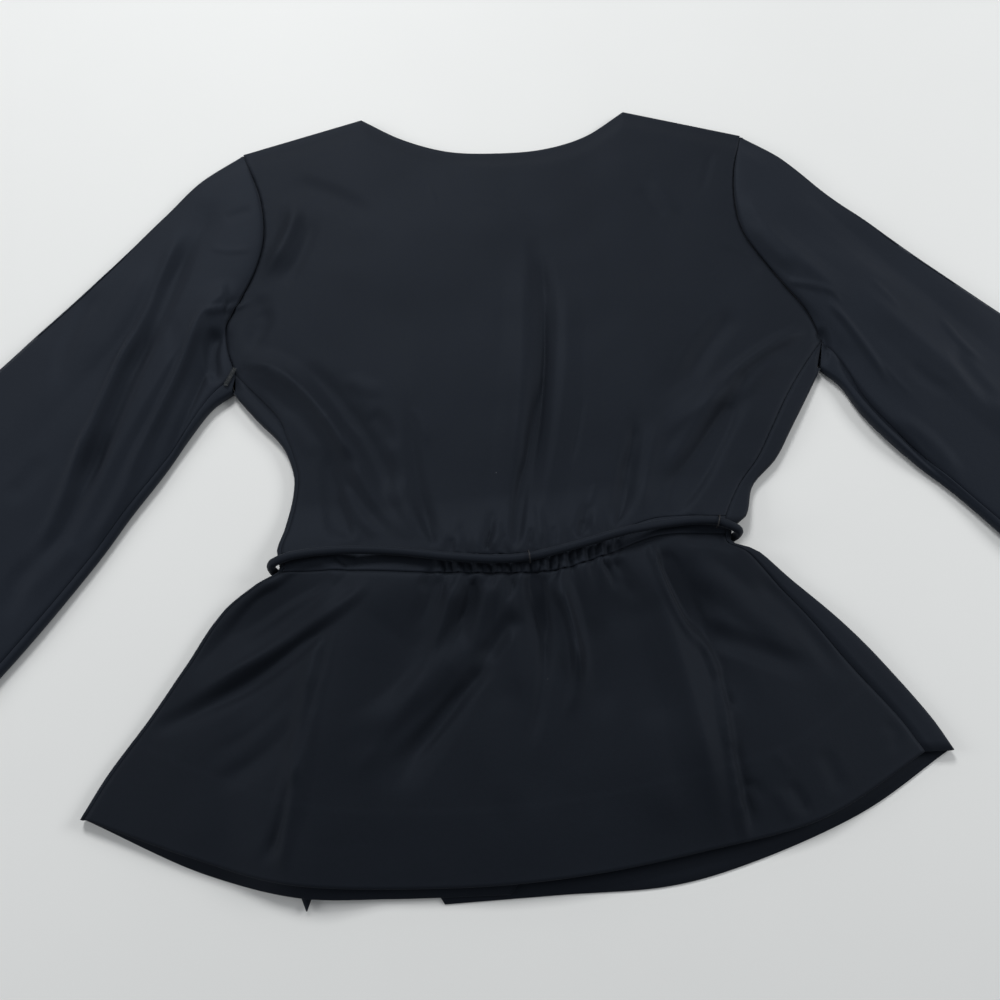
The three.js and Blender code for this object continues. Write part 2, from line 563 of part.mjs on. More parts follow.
function addBackBodice() {
  const left = bodiceEdge(LEFT_SIDE, "seam", LEFT_ARMHOLE, LEFT_NOTCH);
  const right = bodiceEdge(RIGHT_SIDE, "seam", RIGHT_ARMHOLE, RIGHT_NOTCH);
  const start = left(0);
  const end = right(0);
  const shoulders = { left: left(1), right: right(1) };
  const neck = alongCurve(NECK);
  const width = shoulders.right.x - shoulders.left.x;
  const neckFrom = (NECK[0].x - shoulders.left.x) / width;
  const neckTo = (NECK[NECK.length - 1].x - shoulders.left.x) / width;
  const top = (u) => {
    if (u <= neckFrom) return mixPoint(shoulders.left, NECK[0], u / neckFrom);
    if (u >= neckTo) return mixPoint(NECK[NECK.length - 1], shoulders.right, (u - neckTo) / (1 - neckTo));
    return neck((u - neckFrom) / (neckTo - neckFrom));
  };
  const bottom = (u) => {
    const x = mix(start.x, end.x, u);
    const ends = mix(start.y - waistAt(start.x), end.y - waistAt(end.x), u);
    return { x, y: waistAt(x) + ends + SEAM_GAP / 2 };
  };
  const shape = patch(bottom, top, left, right);
  const even = gatheredColumns(start.x, end.x, BACK_GATHER_COLUMNS, BACK_SIDE_COLUMNS);
  // The two columns nearest the neck's corners are moved onto them.
  for (const corner of [neckFrom, neckTo]) {
    const off = even.map((u) => Math.abs(u - corner));
    even[off.indexOf(Math.min(...off))] = corner;
  }
  const grid = bodiceRows.map((v) =>
    withGap(even.map((u) => shape(u, v)), SEAM_GAP / 2).map((p, i) => {
      const u = even[i];
      const loft = EDGE_LOFT + BACK_LOFT * dome(u) * dome(v);
      const height = upperCloth(p.x, p.y, loft);
      return new THREE.Vector3(p.x, p.y, shoulderDrop(height, (1 - v) / (1 - UNDERARM_SHARE)));
    }),
  );
  addPiece("back_bodice", wall(grid), CREPE);
}

// One front panel. It runs along the surface from its free edge to the garment's edge, turns up
// there, and its last strip lies on top as far as the side seam. Above the notch it has no strip.
function frontPanel({ rows, free, edge, seam, bottom, top, hand, turn, notch, layer }) {
  const above = (v) => v > notch + 1e-6;
  const inner = (v) => {
    const p = edge(v);
    return { x: p.x - hand * (above(v) ? SEAM_GAP / 2 : turn), y: p.y };
  };
  const shape = hand > 0 ? patch(bottom, top, free, inner) : patch(bottom, top, inner, free);
  return rows.map((v) => {
    const line = [];
    const rise = notch < 1 ? smoothstep(0.94, 1, v) : 0;
    for (let i = 0; i <= FRONT_COLUMNS; i++) {
      const u = hand > 0 ? i / FRONT_COLUMNS : 1 - i / FRONT_COLUMNS;
      const p = shape(u, v);
      line.push(new THREE.Vector3(p.x, p.y, mix(layer(p.x, p.y), SHOULDER_LAYER, rise)));
    }
    if (above(v)) return line;
    const { x, y, z } = line[line.length - 1];
    const high = upperCloth(x, y, EDGE_LOFT);
    for (let k = 1; k <= TURN_STEPS; k++) {
      const angle = (Math.PI * k) / TURN_STEPS;
      const height = (high + z) / 2 - ((high - z) / 2) * Math.cos(angle);
      line.push(new THREE.Vector3(x + hand * turn * Math.sin(angle), y, height));
    }
    const stop = seam(v);
    stop.x += hand * (SEAM_GAP / 2 + 0.05);
    for (let k = 1; k <= STRIP_STEPS; k++) {
      const p = mixPoint({ x, y }, stop, k / STRIP_STEPS);
      line.push(new THREE.Vector3(p.x, p.y, upperCloth(p.x, p.y, EDGE_LOFT)));
    }
    return line;
  });
}

// A free edge, bowed towards its own side.
const freeEdge = (from, to, bow) => (t) => {
  const p = mixPoint(from, to, t);
  return { x: p.x + bow * 4 * t * (1 - t), y: p.y };
};

const FRONTS = [
  {
    name: "right_front", hand: 1, turn: RIGHT_TURN, side: RIGHT_SIDE, notch: RIGHT_NOTCH, flare: RIGHT_FLARE,
    armhole: RIGHT_ARMHOLE, wrap: OUTER_WRAP, layer: outerFront, hem: OUTER_FRONT_HEM,
  },
  {
    name: "left_front", hand: -1, turn: LEFT_TURN, side: LEFT_SIDE, notch: LEFT_NOTCH, flare: LEFT_FLARE,
    armhole: LEFT_ARMHOLE, wrap: INNER_WRAP, layer: innerFront, hem: INNER_FRONT_HEM,
  },
];

function addFronts({ name, hand, turn, side, notch, flare, armhole, wrap, layer, hem }) {
  // Bodice: its lowest row lies half way down the casing.
  const sideEdge = bodiceEdge(side, "edge", armhole, notch);
  const sideSeam = bodiceEdge(side, "seam", armhole, notch);
  const casingTop = sideSeam(0).y;
  const lowY = casingTop - CASING_HEIGHT / 2 + SEAM_GAP / 2;
  const beside = (column) => ({ x: lookUp(side, "y", column, lowY), y: lowY });
  const waistLine = (from, to) => (u) => {
    const x = mix(from.x, to.x, u);
    return { x, y: waistAt(x) + mix(from.y - waistAt(from.x), to.y - waistAt(to.x), u) };
  };
  // The lowest row takes the share below zero that matches its height.
  const lowest = (-UNDERARM_SHARE * (casingTop - lowY)) / (notch.y - casingTop);
  const stretched = (edge, column) => (t) => {
    const v = mix(lowest, 1, t);
    return v < -1e-9 ? beside(column) : edge(v);
  };
  const shares = [lowest, ...bodiceRows].map((v) => (v - lowest) / (1 - lowest));
  const waistFree = { x: wrap.waist.x, y: waistAt(wrap.waist.x) + CASING_HEIGHT / 2 + SEAM_GAP / 2 };
  const outerLow = { x: beside("edge").x - hand * turn, y: lowY };
  const shoulder = { x: sideEdge(1).x - (hand * SEAM_GAP) / 2, y: sideEdge(1).y };
  const bodice = frontPanel({
    rows: shares,
    free: freeEdge(waistFree, wrap.neck, -hand * WRAP_BOW),
    edge: stretched(sideEdge, "edge"),
    seam: stretched(sideSeam, "seam"),
    bottom: hand > 0 ? waistLine(waistFree, outerLow) : waistLine(outerLow, waistFree),
    top: (u) => (hand > 0 ? mixPoint(wrap.neck, shoulder, u) : mixPoint(shoulder, wrap.neck, u)),
    notch: (UNDERARM_SHARE - lowest) / (1 - lowest),
    hand,
    turn,
    layer,
  });
  addPiece(name, wall(bodice), CREPE);

  // Peplum, from the waist down; its rows are turned round so that they run upwards.
  const topY = lowY - SEAM_GAP;
  const hemY = flare[flare.length - 1].y;
  const startY = waistAt(flare[1].seam);
  const lower = Array.from({ length: PEPLUM_ROWS + 1 }, (_, j) => mix(startY, hemY, peplumShare(j)));
  const heights = [topY, ...lower];
  const flareEdge = (column) => (t) => {
    const y = mix(hemY, topY, t);
    return { x: lookUp(flare, "y", column, y), y };
  };
  const peplumFree = freeEdge(wrap.hem, { x: wrap.waist.x, y: waistFree.y - SEAM_GAP }, -hand * WRAP_BOW);
  const corner = { x: flareEdge("edge")(0).x - hand * turn, y: hemY };
  const upper = { x: flareEdge("edge")(1).x - hand * turn, y: topY };
  const hemCurve = alongCurve(hand > 0 ? [...hem.slice(0, -1), corner] : [corner, ...hem.slice(1)]);
  const topFree = { x: wrap.waist.x, y: waistFree.y - SEAM_GAP };
  const topLine = hand > 0 ? waistLine(topFree, upper) : waistLine(upper, topFree);
  const peplum = frontPanel({
    rows: heights.map((y) => (y - hemY) / (topY - hemY)).reverse(),
    free: peplumFree,
    edge: flareEdge("edge"),
    seam: flareEdge("seam"),
    bottom: hemCurve,
    top: topLine,
    notch: 1,
    hand,
    turn,
    layer,
  });
  addPiece(name + "_peplum", wall(peplum), CREPE);
}

// Share of a peplum's height at one of its rows, counted from the waist; closer near the waist.
function peplumShare(row) {
  return (row / PEPLUM_ROWS) ** 1.3;
}

function addBackPeplum() {
  const hemLeft = LEFT_FLARE[LEFT_FLARE.length - 1];
  const hemRight = RIGHT_FLARE[RIGHT_FLARE.length - 1];
  const edge = (flare, hemY) => (t) => {
    const top = waistAt(flare[1].seam) - SEAM_GAP / 2;
    const y = mix(hemY, top, t);
    return { x: lookUp(flare, "y", "seam", y), y };
  };
  const left = edge(LEFT_FLARE, hemLeft.y);
  const right = edge(RIGHT_FLARE, hemRight.y);
  const hem = alongCurve([left(0), ...BACK_HEM.slice(1, -1), right(0)]);
  const from = left(1);
  const to = right(1);
  const top = (u) => {
    const x = mix(from.x, to.x, u);
    return { x, y: waistAt(x) - SEAM_GAP / 2 };
  };
  const shape = patch(hem, top, left, right);
  const columns = gatheredColumns(from.x, to.x, BACK_GATHER_COLUMNS, BACK_SIDE_COLUMNS);
  const grid = [];
  for (let j = 0; j <= PEPLUM_ROWS; j++) {
    const v = 1 - peplumShare(PEPLUM_ROWS - j);
    const line = withGap(columns.map((u) => shape(u, v)), SEAM_GAP / 2);
    grid.push(line.map((p, i) => {
      const loft = EDGE_LOFT + PEPLUM_LOFT * dome(columns[i]) * dome(mix(0.12, 1, v));
      return new THREE.Vector3(p.x, p.y, upperCloth(p.x, p.y, loft));
    }));
  }
  addPiece("back_peplum", wall(grid), CREPE);
}

function addCasing() {
  const side = (flare, bodice, y) => lookUp(y > bodice[1].y ? bodice : flare, "y", "seam", y);
  const grid = [0, 0.5, 1].map((v) => {
    const ends = [[LEFT_FLARE, LEFT_SIDE], [RIGHT_FLARE, RIGHT_SIDE]].map(([flare, bodice]) => {
      const y = waistAt(flare[1].seam) + SEAM_GAP / 2 + (CASING_HEIGHT - SEAM_GAP) * v;
      return side(flare, bodice, y);
    });
    const columns = gatheredColumns(ends[0], ends[1], RIPPLE_COLUMNS * CASING_RIPPLES, CASING_SIDE_COLUMNS);
    const line = columns.map((u) => {
      const x = mix(ends[0], ends[1], u);
      return { x, y: waistAt(x) + SEAM_GAP / 2 + (CASING_HEIGHT - SEAM_GAP) * v };
    });
    return withGap(line, SEAM_GAP / 2).map((p) => {
      const wave = Math.cos((2 * Math.PI * CASING_RIPPLES * (p.x - GATHER_FROM)) / (GATHER_TO - GATHER_FROM));
      const loft = EDGE_LOFT + CASING_RIPPLE_HEIGHT * wave * gatheredZone(p.x, 4);
      return new THREE.Vector3(p.x, p.y, upperCloth(p.x, p.y, loft));
    });
  });
  addPiece("waist_casing", wall(grid), CREPE);
}

// A sleeve is one piece round a flattened tube, open along its underarm seam by the seam's gap. Its
// first ring is the armhole seam: on top down to the underarm, on to the notch at the garment's edge,
// and back up the floor side. Its rings lose that shape towards the elbow.
function addSleeve(name, sections, armhole, notch, outward) {
  const backHole = alongCurve(armhole);
  const frontHole = alongCurve([notch, ...armhole.slice(1)]);
  const columns = ["ux", "uy", "lx", "ly", "seam"];
  const sectionAt = (s) =>
    Object.fromEntries(columns.map((key) => {
      const rows = sections.map((row, at) => ({ at, value: row[key] }));
      return [key, lookUp(rows, "at", "value", s)];
    }));
  const across = (section, t) => ({ x: mix(section.ux, section.lx, t), y: mix(section.uy, section.ly, t) });
  const widthOf = (section) => Math.hypot(section.lx - section.ux, section.ly - section.uy);
  const first = sections[0];
  const firstSeam = 1 - first.seam / widthOf(first);
  const drift = (share, point) => {
    const p = across(first, share);
    return { x: point.x - p.x, y: point.y - p.y };
  };
  const steps = Array.from({ length: ARMHOLE_ROWS + 1 }, (_, i) => i / ARMHOLE_ROWS);
  const angles = Array.from({ length: TURN_STEPS - 1 }, (_, k) => (Math.PI * (k + 1)) / TURN_STEPS);
  const none = { x: 0, y: 0 };
  const grid = [];
  for (let j = 0; j <= SLEEVE_ROWS; j++) {
    const v = j / SLEEVE_ROWS;
    const section = sectionAt(v ** 1.1 * (sections.length - 1));
    const width = widthOf(section);
    const fade = Math.max(0, 1 - v / 0.6) ** 2;
    const shoulder = Math.min(1, v / 0.15);
    const seam = 1 - section.seam / width;
    const turn = SLEEVE_TURN / width;
    const gap = SEAM_GAP / 2 / width;
    const ring = [];
    const place = (t, shift) => {
      const p = across(section, t);
      const off = j === 0 ? outward * 1.2 * SEAM_GAP : 0;
      return { x: p.x + shift.x * fade + off, y: p.y + shift.y * fade };
    };
    const topAt = (p, t) => {
      const loft = EDGE_LOFT + SLEEVE_LOFT * dome(t) * dome(mix(0, 0.94, v ** 0.6));
      const height = upperCloth(p.x, p.y, loft);
      return mix(shoulderDrop(height, t), height, shoulder);
    };
    const push = (p, z) => ring.push(new THREE.Vector3(p.x, p.y, z));
    const onTop = (t, shift) => {
      const p = place(t, shift);
      push(p, topAt(p, t));
    };
    const turned = (from, sign, list) => {
      const top = topAt(place(from, none), from);
      for (const angle of list) {
        const p = place(from + sign * turn * Math.sin(angle), none);
        push(p, mix(FLOOR_LAYER, top, 0.5 + 0.5 * Math.cos(angle)));
      }
    };
    onTop(seam + gap, drift(firstSeam, armhole[0]));
    onTop((seam + 1 - turn) / 2, drift((firstSeam + 1) / 2, mixPoint(armhole[0], notch, 0.5)));
    onTop(1 - turn, none);
    turned(1 - turn, 1, angles);
    for (const step of steps) {
      const share = Math.min(1 - turn, Math.max(turn, 1 - step));
      push(place(share, drift(1 - step, frontHole(step))), FLOOR_LAYER);
    }
    turned(turn, -1, [...angles].reverse());
    onTop(turn, none);
    for (const step of steps.slice(1)) {
      onTop(step * seam - (step === 1 ? gap : 0), drift(step * firstSeam, backHole(1 - step)));
    }
    grid.push(outward > 0 ? ring : ring.reverse());
  }
  addPiece(name, wall(grid), CREPE);
}

// Height of the tie's middle where it lies on the cloth, which it bridges from ridge to ridge.
function tieOver(x, y) {
  const beside = (dx) => [-3, 0, 3].map((dy) => upperCloth(x + dx, y + dy, EDGE_LOFT + 1));
  const heights = [-10, -5, 0, 5, 10].flatMap(beside);
  return Math.max(...heights) + HALF_WALL + TIE_CLEARANCE + TIE_RADIUS;
}

const tieCurve = new THREE.CatmullRomCurve3(
  TIE_ROUTE.map((p) => new THREE.Vector3(p.x, p.y, p.z ?? tieOver(p.x, p.y))),
  false,
  "centripetal",
);

function addTie() {
  const section = new THREE.Shape(
    Array.from({ length: TIE_SIDES }, (_, k) => {
      const angle = (2 * Math.PI * k) / TIE_SIDES;
      return new THREE.Vector2(TIE_RADIUS * Math.cos(angle), TIE_RADIUS * Math.sin(angle));
    }),
  );
  const sweep = { steps: TIE_STEPS, bevelEnabled: false, extrudePath: tieCurve };
  addPiece("waist_tie", new THREE.ExtrudeGeometry(section, sweep), CREPE);

  // The free end is sewn to a flat point.
  const end = TIE_ROUTE[TIE_ROUTE.length - 1];
  const point = new THREE.Shape([
    new THREE.Vector2(-TIP_WIDTH / 2, 0),
    new THREE.Vector2(0, -TIP_LENGTH),
    new THREE.Vector2(TIP_WIDTH / 2, 0),
  ]);
  const tip = new THREE.ExtrudeGeometry(point, { depth: 2 * TIE_RADIUS - 2, bevelEnabled: false });
  addPiece("tie_tip", tip, CREPE).position.set(end.x, end.y - SEAM_GAP, 1);
}

// A thread carrier is a low arch across the tie, at one of its route's rows.
function addCarrier(name, row) {
  const share = row / (TIE_ROUTE.length - 1);
  const along = tieCurve.getTangent(share);
  const inside = TIE_RADIUS + TIE_CLEARANCE;
  const arch = new THREE.Shape();
  arch.absarc(0, 0, inside + CARRIER_WIDTH, 0, Math.PI, false);
  arch.lineTo(-inside - CARRIER_WIDTH, -CARRIER_LEG);
  arch.lineTo(-inside, -CARRIER_LEG);
  arch.absarc(0, 0, inside, Math.PI, 0, true);
  arch.lineTo(inside, -CARRIER_LEG);
  arch.lineTo(inside + CARRIER_WIDTH, -CARRIER_LEG);
  const sweep = { depth: CARRIER_WIDTH, bevelEnabled: false, curveSegments: 8 };
  const bar = new THREE.ExtrudeGeometry(arch, sweep);
  bar.translate(0, 0, -CARRIER_WIDTH / 2);
  const mesh = addPiece(name, bar, THREAD);
  mesh.rotation.set(Math.PI / 2, 0, Math.PI / 2 + Math.atan2(along.y, along.x), "ZYX");
  mesh.position.copy(tieCurve.getPoint(share));
}

// The loop for hanging leaves the left underarm and lies flat on the cloth.
function addHangerLoop() {
  const { x, y, long, wide, thick, degrees } = HANGER_LOOP;
  const strip = new THREE.Shape([
    new THREE.Vector2(0, -wide / 2),
    new THREE.Vector2(long, -0.4 * wide),
    new THREE.Vector2(long, 0.4 * wide),
    new THREE.Vector2(0, wide / 2),
  ]);
  const tape = new THREE.ExtrudeGeometry(strip, { depth: thick, bevelEnabled: false });
  const mesh = addPiece("hanger_loop", tape, CLEAR_TAPE);
  const angle = THREE.MathUtils.degToRad(degrees);
  const underarm = LEFT_ARMHOLE[0];
  mesh.rotation.z = angle;
  mesh.position.set(x, y, upperCloth(underarm.x, underarm.y, EDGE_LOFT) + HALF_WALL + 2 * SEAM_GAP);
}

addBackBodice();
FRONTS.forEach(addFronts);
addBackPeplum();
addCasing();
addSleeve("left_sleeve", LEFT_SLEEVE, LEFT_ARMHOLE, LEFT_NOTCH, -1);
addSleeve("right_sleeve", RIGHT_SLEEVE, RIGHT_ARMHOLE, RIGHT_NOTCH, 1);
addTie();
addCarrier("carrier_back", BACK_CARRIER);
addCarrier("carrier_side", SIDE_CARRIER);
addHangerLoop();

// The box of the whole garment stands centred on the origin.
const box = new THREE.Box3().setFromObject(garment);
const centre = box.getCenter(new THREE.Vector3());
garment.position.set(-centre.x, -centre.y, -box.min.z);

export default garment;
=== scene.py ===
# A wrap top in plain black crepe, laid flat with its back up on a pale floor.
# Tables and shapes are in millimetres, about the garment's centre back waist: +X to the wearer's
# right hand, +Y to the neck and +Z up. Every mesh is moved to the frame's place, in metres.
import math
from collections import namedtuple

import bpy
import numpy as np
from bpy.props import FloatProperty, FloatVectorProperty, PointerProperty
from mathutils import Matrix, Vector


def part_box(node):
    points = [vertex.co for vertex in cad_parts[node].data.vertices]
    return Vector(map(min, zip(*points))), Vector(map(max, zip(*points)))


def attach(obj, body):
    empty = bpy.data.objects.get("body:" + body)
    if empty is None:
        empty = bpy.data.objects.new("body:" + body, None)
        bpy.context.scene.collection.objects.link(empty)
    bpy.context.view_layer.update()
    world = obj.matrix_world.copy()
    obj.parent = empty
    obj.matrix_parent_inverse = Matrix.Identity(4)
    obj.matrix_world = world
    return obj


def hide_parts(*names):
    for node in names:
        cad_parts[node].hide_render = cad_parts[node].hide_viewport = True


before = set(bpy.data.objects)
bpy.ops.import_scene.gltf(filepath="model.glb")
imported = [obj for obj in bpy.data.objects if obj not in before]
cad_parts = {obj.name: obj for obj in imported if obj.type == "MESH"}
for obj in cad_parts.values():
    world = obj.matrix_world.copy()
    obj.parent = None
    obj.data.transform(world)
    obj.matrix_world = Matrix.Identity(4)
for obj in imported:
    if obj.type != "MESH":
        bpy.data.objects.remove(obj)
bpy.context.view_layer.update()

bl_info = {
    "name": "Wrap top",
    "version": (1, 0, 0),
    "blender": (4, 5, 0),
    "location": "View3D > Sidebar > Wrap top",
    "description": "A black crepe wrap top, laid flat with its back up",
    "category": "Add Mesh",
}

MM = 0.001

# Cloth and seams
WALL = 1.0
SEAM_GAP = 0.4
CLOSED_GAP = 0.2
LAYER_STEP = 2.3
FLOOR_LAYER = WALL / 2
TOP_LAYER = FLOOR_LAYER + 2 * LAYER_STEP
SHOULDER_LAYER = TOP_LAYER - WALL - SEAM_GAP

# How far the upper cloth stands off the layers below it
EDGE_LOFT = 1.8
BACK_LOFT = 4.5
PEPLUM_LOFT = 4.5
SLEEVE_LOFT = 7
LEAST_LOFT = 0.6
AT_SHOULDER = 0.1

# Relief: how far the finer folds are deepened, and the creased core along each large fold
FINE_STRENGTH = 1.6
CORE_WIDTH = 0.45
CORE_HEIGHT = 0.4
CORE_CRISP = 0.8

# Seam allowance inside each shoulder point
ALLOWANCE_WIDTH = 5
ALLOWANCE_INSET = 0.6
ALLOWANCE_LAYER = TOP_LAYER - 0.7
ALLOWANCE_WALL = 0.16

# Turned edges
LEFT_TURN = 1.6
RIGHT_TURN = 2.5
SLEEVE_TURN = 2.5
TURN_STEPS = 8

# Waist
CASING_HEIGHT = 13
GATHER_FROM = -50
GATHER_TO = 72
CASING_RIPPLES = 19
CASING_RIPPLE_HEIGHT = 1.0
SOFT_RIPPLES = 9
SOFT_RIPPLE_HEIGHT = 1.1
SOFT_RIPPLE_REACH = 34
FINE_GATHERS = 15
FINE_GATHER_HEIGHT = 0.9

# Tie
TIE_RADIUS = 3
TIE_CLEARANCE = 0.4
TIE_LIFT = 2 * TIE_RADIUS + 1.2
LIFT_CORE = 3
LIFT_REACH = 50
LIFTED_FROM = 20
BACK_CARRIER = 11
SIDE_CARRIER = 16
TIP_LENGTH = 9
TIP_WIDTH = 8
SEWN_FROM = -158
SEWN_TO = -126
SEWN_AT = -3.5

# Carriers and hanger loop
CARRIER_ROOM = 0.55
THREAD_RADIUS = 0.42
THREAD_LOBE = 0.13
THREAD_TURNS = 5
LOOP_START = (-190, 152)
LOOP_TURN = 245
LOOP_LENGTH = 15.4
LOOP_WIDTH = 3
LOOP_WALL = 0.22

# Panels: lengths that set the count of rows, and where the armhole starts
UNDERARM_SHARE = 0.42
SIDE_CROWDING = 1.2
SIDE_LENGTH = 140
FRONT_SIDE_LENGTH = 130
ARMHOLE_LENGTH = 195
PEPLUM_LENGTH = 205
SLEEVE_LENGTH = 560
SLEEVE_ROUND = 205
FRONT_WIDTH = 360
FRONT_PEPLUM_LENGTH = 150
STRIP_STEPS = 3
SLEEVE_RING_PITCH = 1.15
SLEEVE_FLOOR_PITCH = 1.8
SEAM_REACH = 5
BODICE_SPAN = (390, 340)
PEPLUM_SPAN = (500, 200)
HEM_ALLOWANCE = 44

# Bounding sizes of the flat pieces, in metres
CUTS = {
    "back_bodice": (0.44, 0.37), "back_peplum": (0.56, 0.22), "waist_casing": (0.36, 0.014),
    "right_front": (0.36, 0.38), "left_front": (0.36, 0.38),
    "right_front_peplum": (0.39, 0.24), "left_front_peplum": (0.39, 0.24),
    "left_sleeve": (0.42, 0.60), "right_sleeve": (0.42, 0.60),
}

# Painted light and shade: each part has its own copy of the one crepe, painted lighter on the sleeves and
# darker on the peplum so that each part is as light as it looks in the photo, and each has its own sheen
# weight
CREPE_PAINTED_LIGHT_AND_SHEEN = {"crepe_back": (1.0, 0.06), "crepe_peplum": (0.8, 0.04), "crepe_sleeves": (1.3, 0.09)}

# Stage: metres and watts, but for the camera's aim and its lens
Lamp = namedtuple("Lamp", "name at energy size")
LAMPS = [
    Lamp("key", (-0.4, 1.5, 1.65), 26, 0.6),
    Lamp("fill", (-1.9, 0.0, 0.9), 10, 0.8),
    Lamp("side", (1.9, 0.4, 1.2), 19, 0.8),
]
SKY_COLOUR = (0.93, 0.96, 1.0, 1)
SKY_STRENGTH = 0.27
FLOOR_REACH = 6.0
FLOOR_DROP = 0.0002
CAMERA_AIM = (-6, 41, 5)
CAMERA_LENS = 36

Spot = namedtuple("Spot", "x y")
Side = namedtuple("Side", "y seam edge")
Section = namedtuple("Section", "ux uy lx ly seam")
Wrap = namedtuple("Wrap", "neck waist hem")
Route = namedtuple("Route", "x y z")

# The back casing's lower line
WAIST = [
    Spot(-166, -4), Spot(-115, -5), Spot(-47, -11), Spot(25, -14), Spot(60, -6), Spot(100, 6), Spot(157, 4),
]

# Sides: where the side seam lies on top, and the garment's outer edge
LEFT_SIDE = [
    Side(-4, -153.4, -156.1), Side(3, -152.6, -155.2), Side(12, -154, -157), Side(28, -149.5, -152.6),
    Side(62, -144, -147), Side(84, -148.3, -152.5), Side(97, -153, -160.6), Side(110, -158, -172.6),
    Side(134, -178, -191.3), Side(147, -190, -197),
]
RIGHT_SIDE = [
    Side(3, 143.6, 147.4), Side(9, 144.4, 148.8), Side(18, 146, 160), Side(42, 160, 169.6),
    Side(60, 175, 188), Side(83, 189, 203), Side(105, 202, 217), Side(128, 218, 231.3), Side(150, 236, 244),
]
LEFT_NOTCH = Spot(-192, 134)
RIGHT_NOTCH = Spot(232, 128)
LEFT_FLARE = [
    Side(3, -152.6, -155.2), Side(-4, -153.4, -156.1), Side(-11, -166.5, -169.6), Side(-27, -190, -193),
    Side(-63, -214, -217), Side(-93, -234, -237), Side(-127, -258.5, -261.8), Side(-153, -274, -277),
]
RIGHT_FLARE = [
    Side(9, 144.4, 148.8), Side(3, 143.6, 147.4), Side(-1.5, 144.6, 148.4), Side(-7, 155, 162.6),
    Side(-14, 162, 171.5), Side(-36, 179, 192.8), Side(-57, 194, 212.1), Side(-82, 210, 232.4),
    Side(-122, 239, 259.3), Side(-144, 251, 270),
]

# Armhole seams, from the underarm to the shoulder point
LEFT_ARMHOLE = [
    Spot(-190, 147), Spot(-197, 170), Spot(-198, 188), Spot(-189, 208), Spot(-177, 236), Spot(-172, 262),
    Spot(-175, 296), Spot(-190, 341.5),
]
RIGHT_ARMHOLE = [
    Spot(236, 150), Spot(229, 173), Spot(216, 195), Spot(203, 219), Spot(192, 244), Spot(189, 267),
    Spot(192, 300), Spot(202.7, 336),
]

# Neck and hems, from left to right
NECK = [
    Spot(-97, 369.6), Spot(-65.6, 349), Spot(-30, 335), Spot(7, 331), Spot(46, 332.6), Spot(79.8, 342.8),
    Spot(112.4, 365),
]
BACK_HEM = [
    Spot(-274, -153), Spot(-210.5, -178), Spot(-150, -197.5), Spot(-51, -206), Spot(24, -204.4),
    Spot(104, -194.6), Spot(181, -179.4), Spot(251, -144),
]
INNER_FRONT_HEM = [
    Spot(-274, -153), Spot(-200.8, -189), Spot(-142, -206), Spot(-88, -210), Spot(-15, -212),
]
OUTER_FRONT_HEM = [
    Spot(-55, -215), Spot(15, -214), Spot(82, -213), Spot(129.6, -203.8), Spot(207.7, -177.3),
    Spot(267, -144),
]

# Free edges of the two fronts
OUTER_WRAP = Wrap(Spot(112.4, 365), Spot(-140, 2), Spot(-55, -215))
INNER_WRAP = Wrap(Spot(-97, 369.6), Spot(132, 12), Spot(-15, -212))
WRAP_BOW = 12

# Sleeve sections from the armhole to the cuff: ends on the upper and lower edge, and how far the
# underarm seam lies inside the lower edge
LEFT_SLEEVE = [
    Section(-190, 341.5, -192, 134, 13), Section(-222.8, 315.4, -207.6, 122, 9),
    Section(-249.6, 284.6, -222.2, 101.2, 6), Section(-282.8, 246, -238.6, 74.8, 5),
    Section(-321.2, 204.4, -259.2, 45.6, 5), Section(-359.4, 162.5, -285, 6.8, 5),
    Section(-420, 98, -334.6, -57.6, 5), Section(-500, 10, -402, -132, 5),
    Section(-590, -88, -484, -192, 5),
]
RIGHT_SLEEVE = [
    Section(202.7, 336, 232, 128, 22), Section(229.4, 312.3, 245, 113.4, 15),
    Section(260.6, 276.6, 255, 92.7, 11), Section(295.3, 241.4, 268.4, 72.5, 9),
    Section(332.6, 202.6, 288.4, 48.5, 7), Section(370.2, 165.2, 312.7, 23, 5),
    Section(438, 99.8, 364.2, -39.8, 5), Section(519, 20.8, 433, -113, 5), Section(620, -78, 518, -180, 5),
]

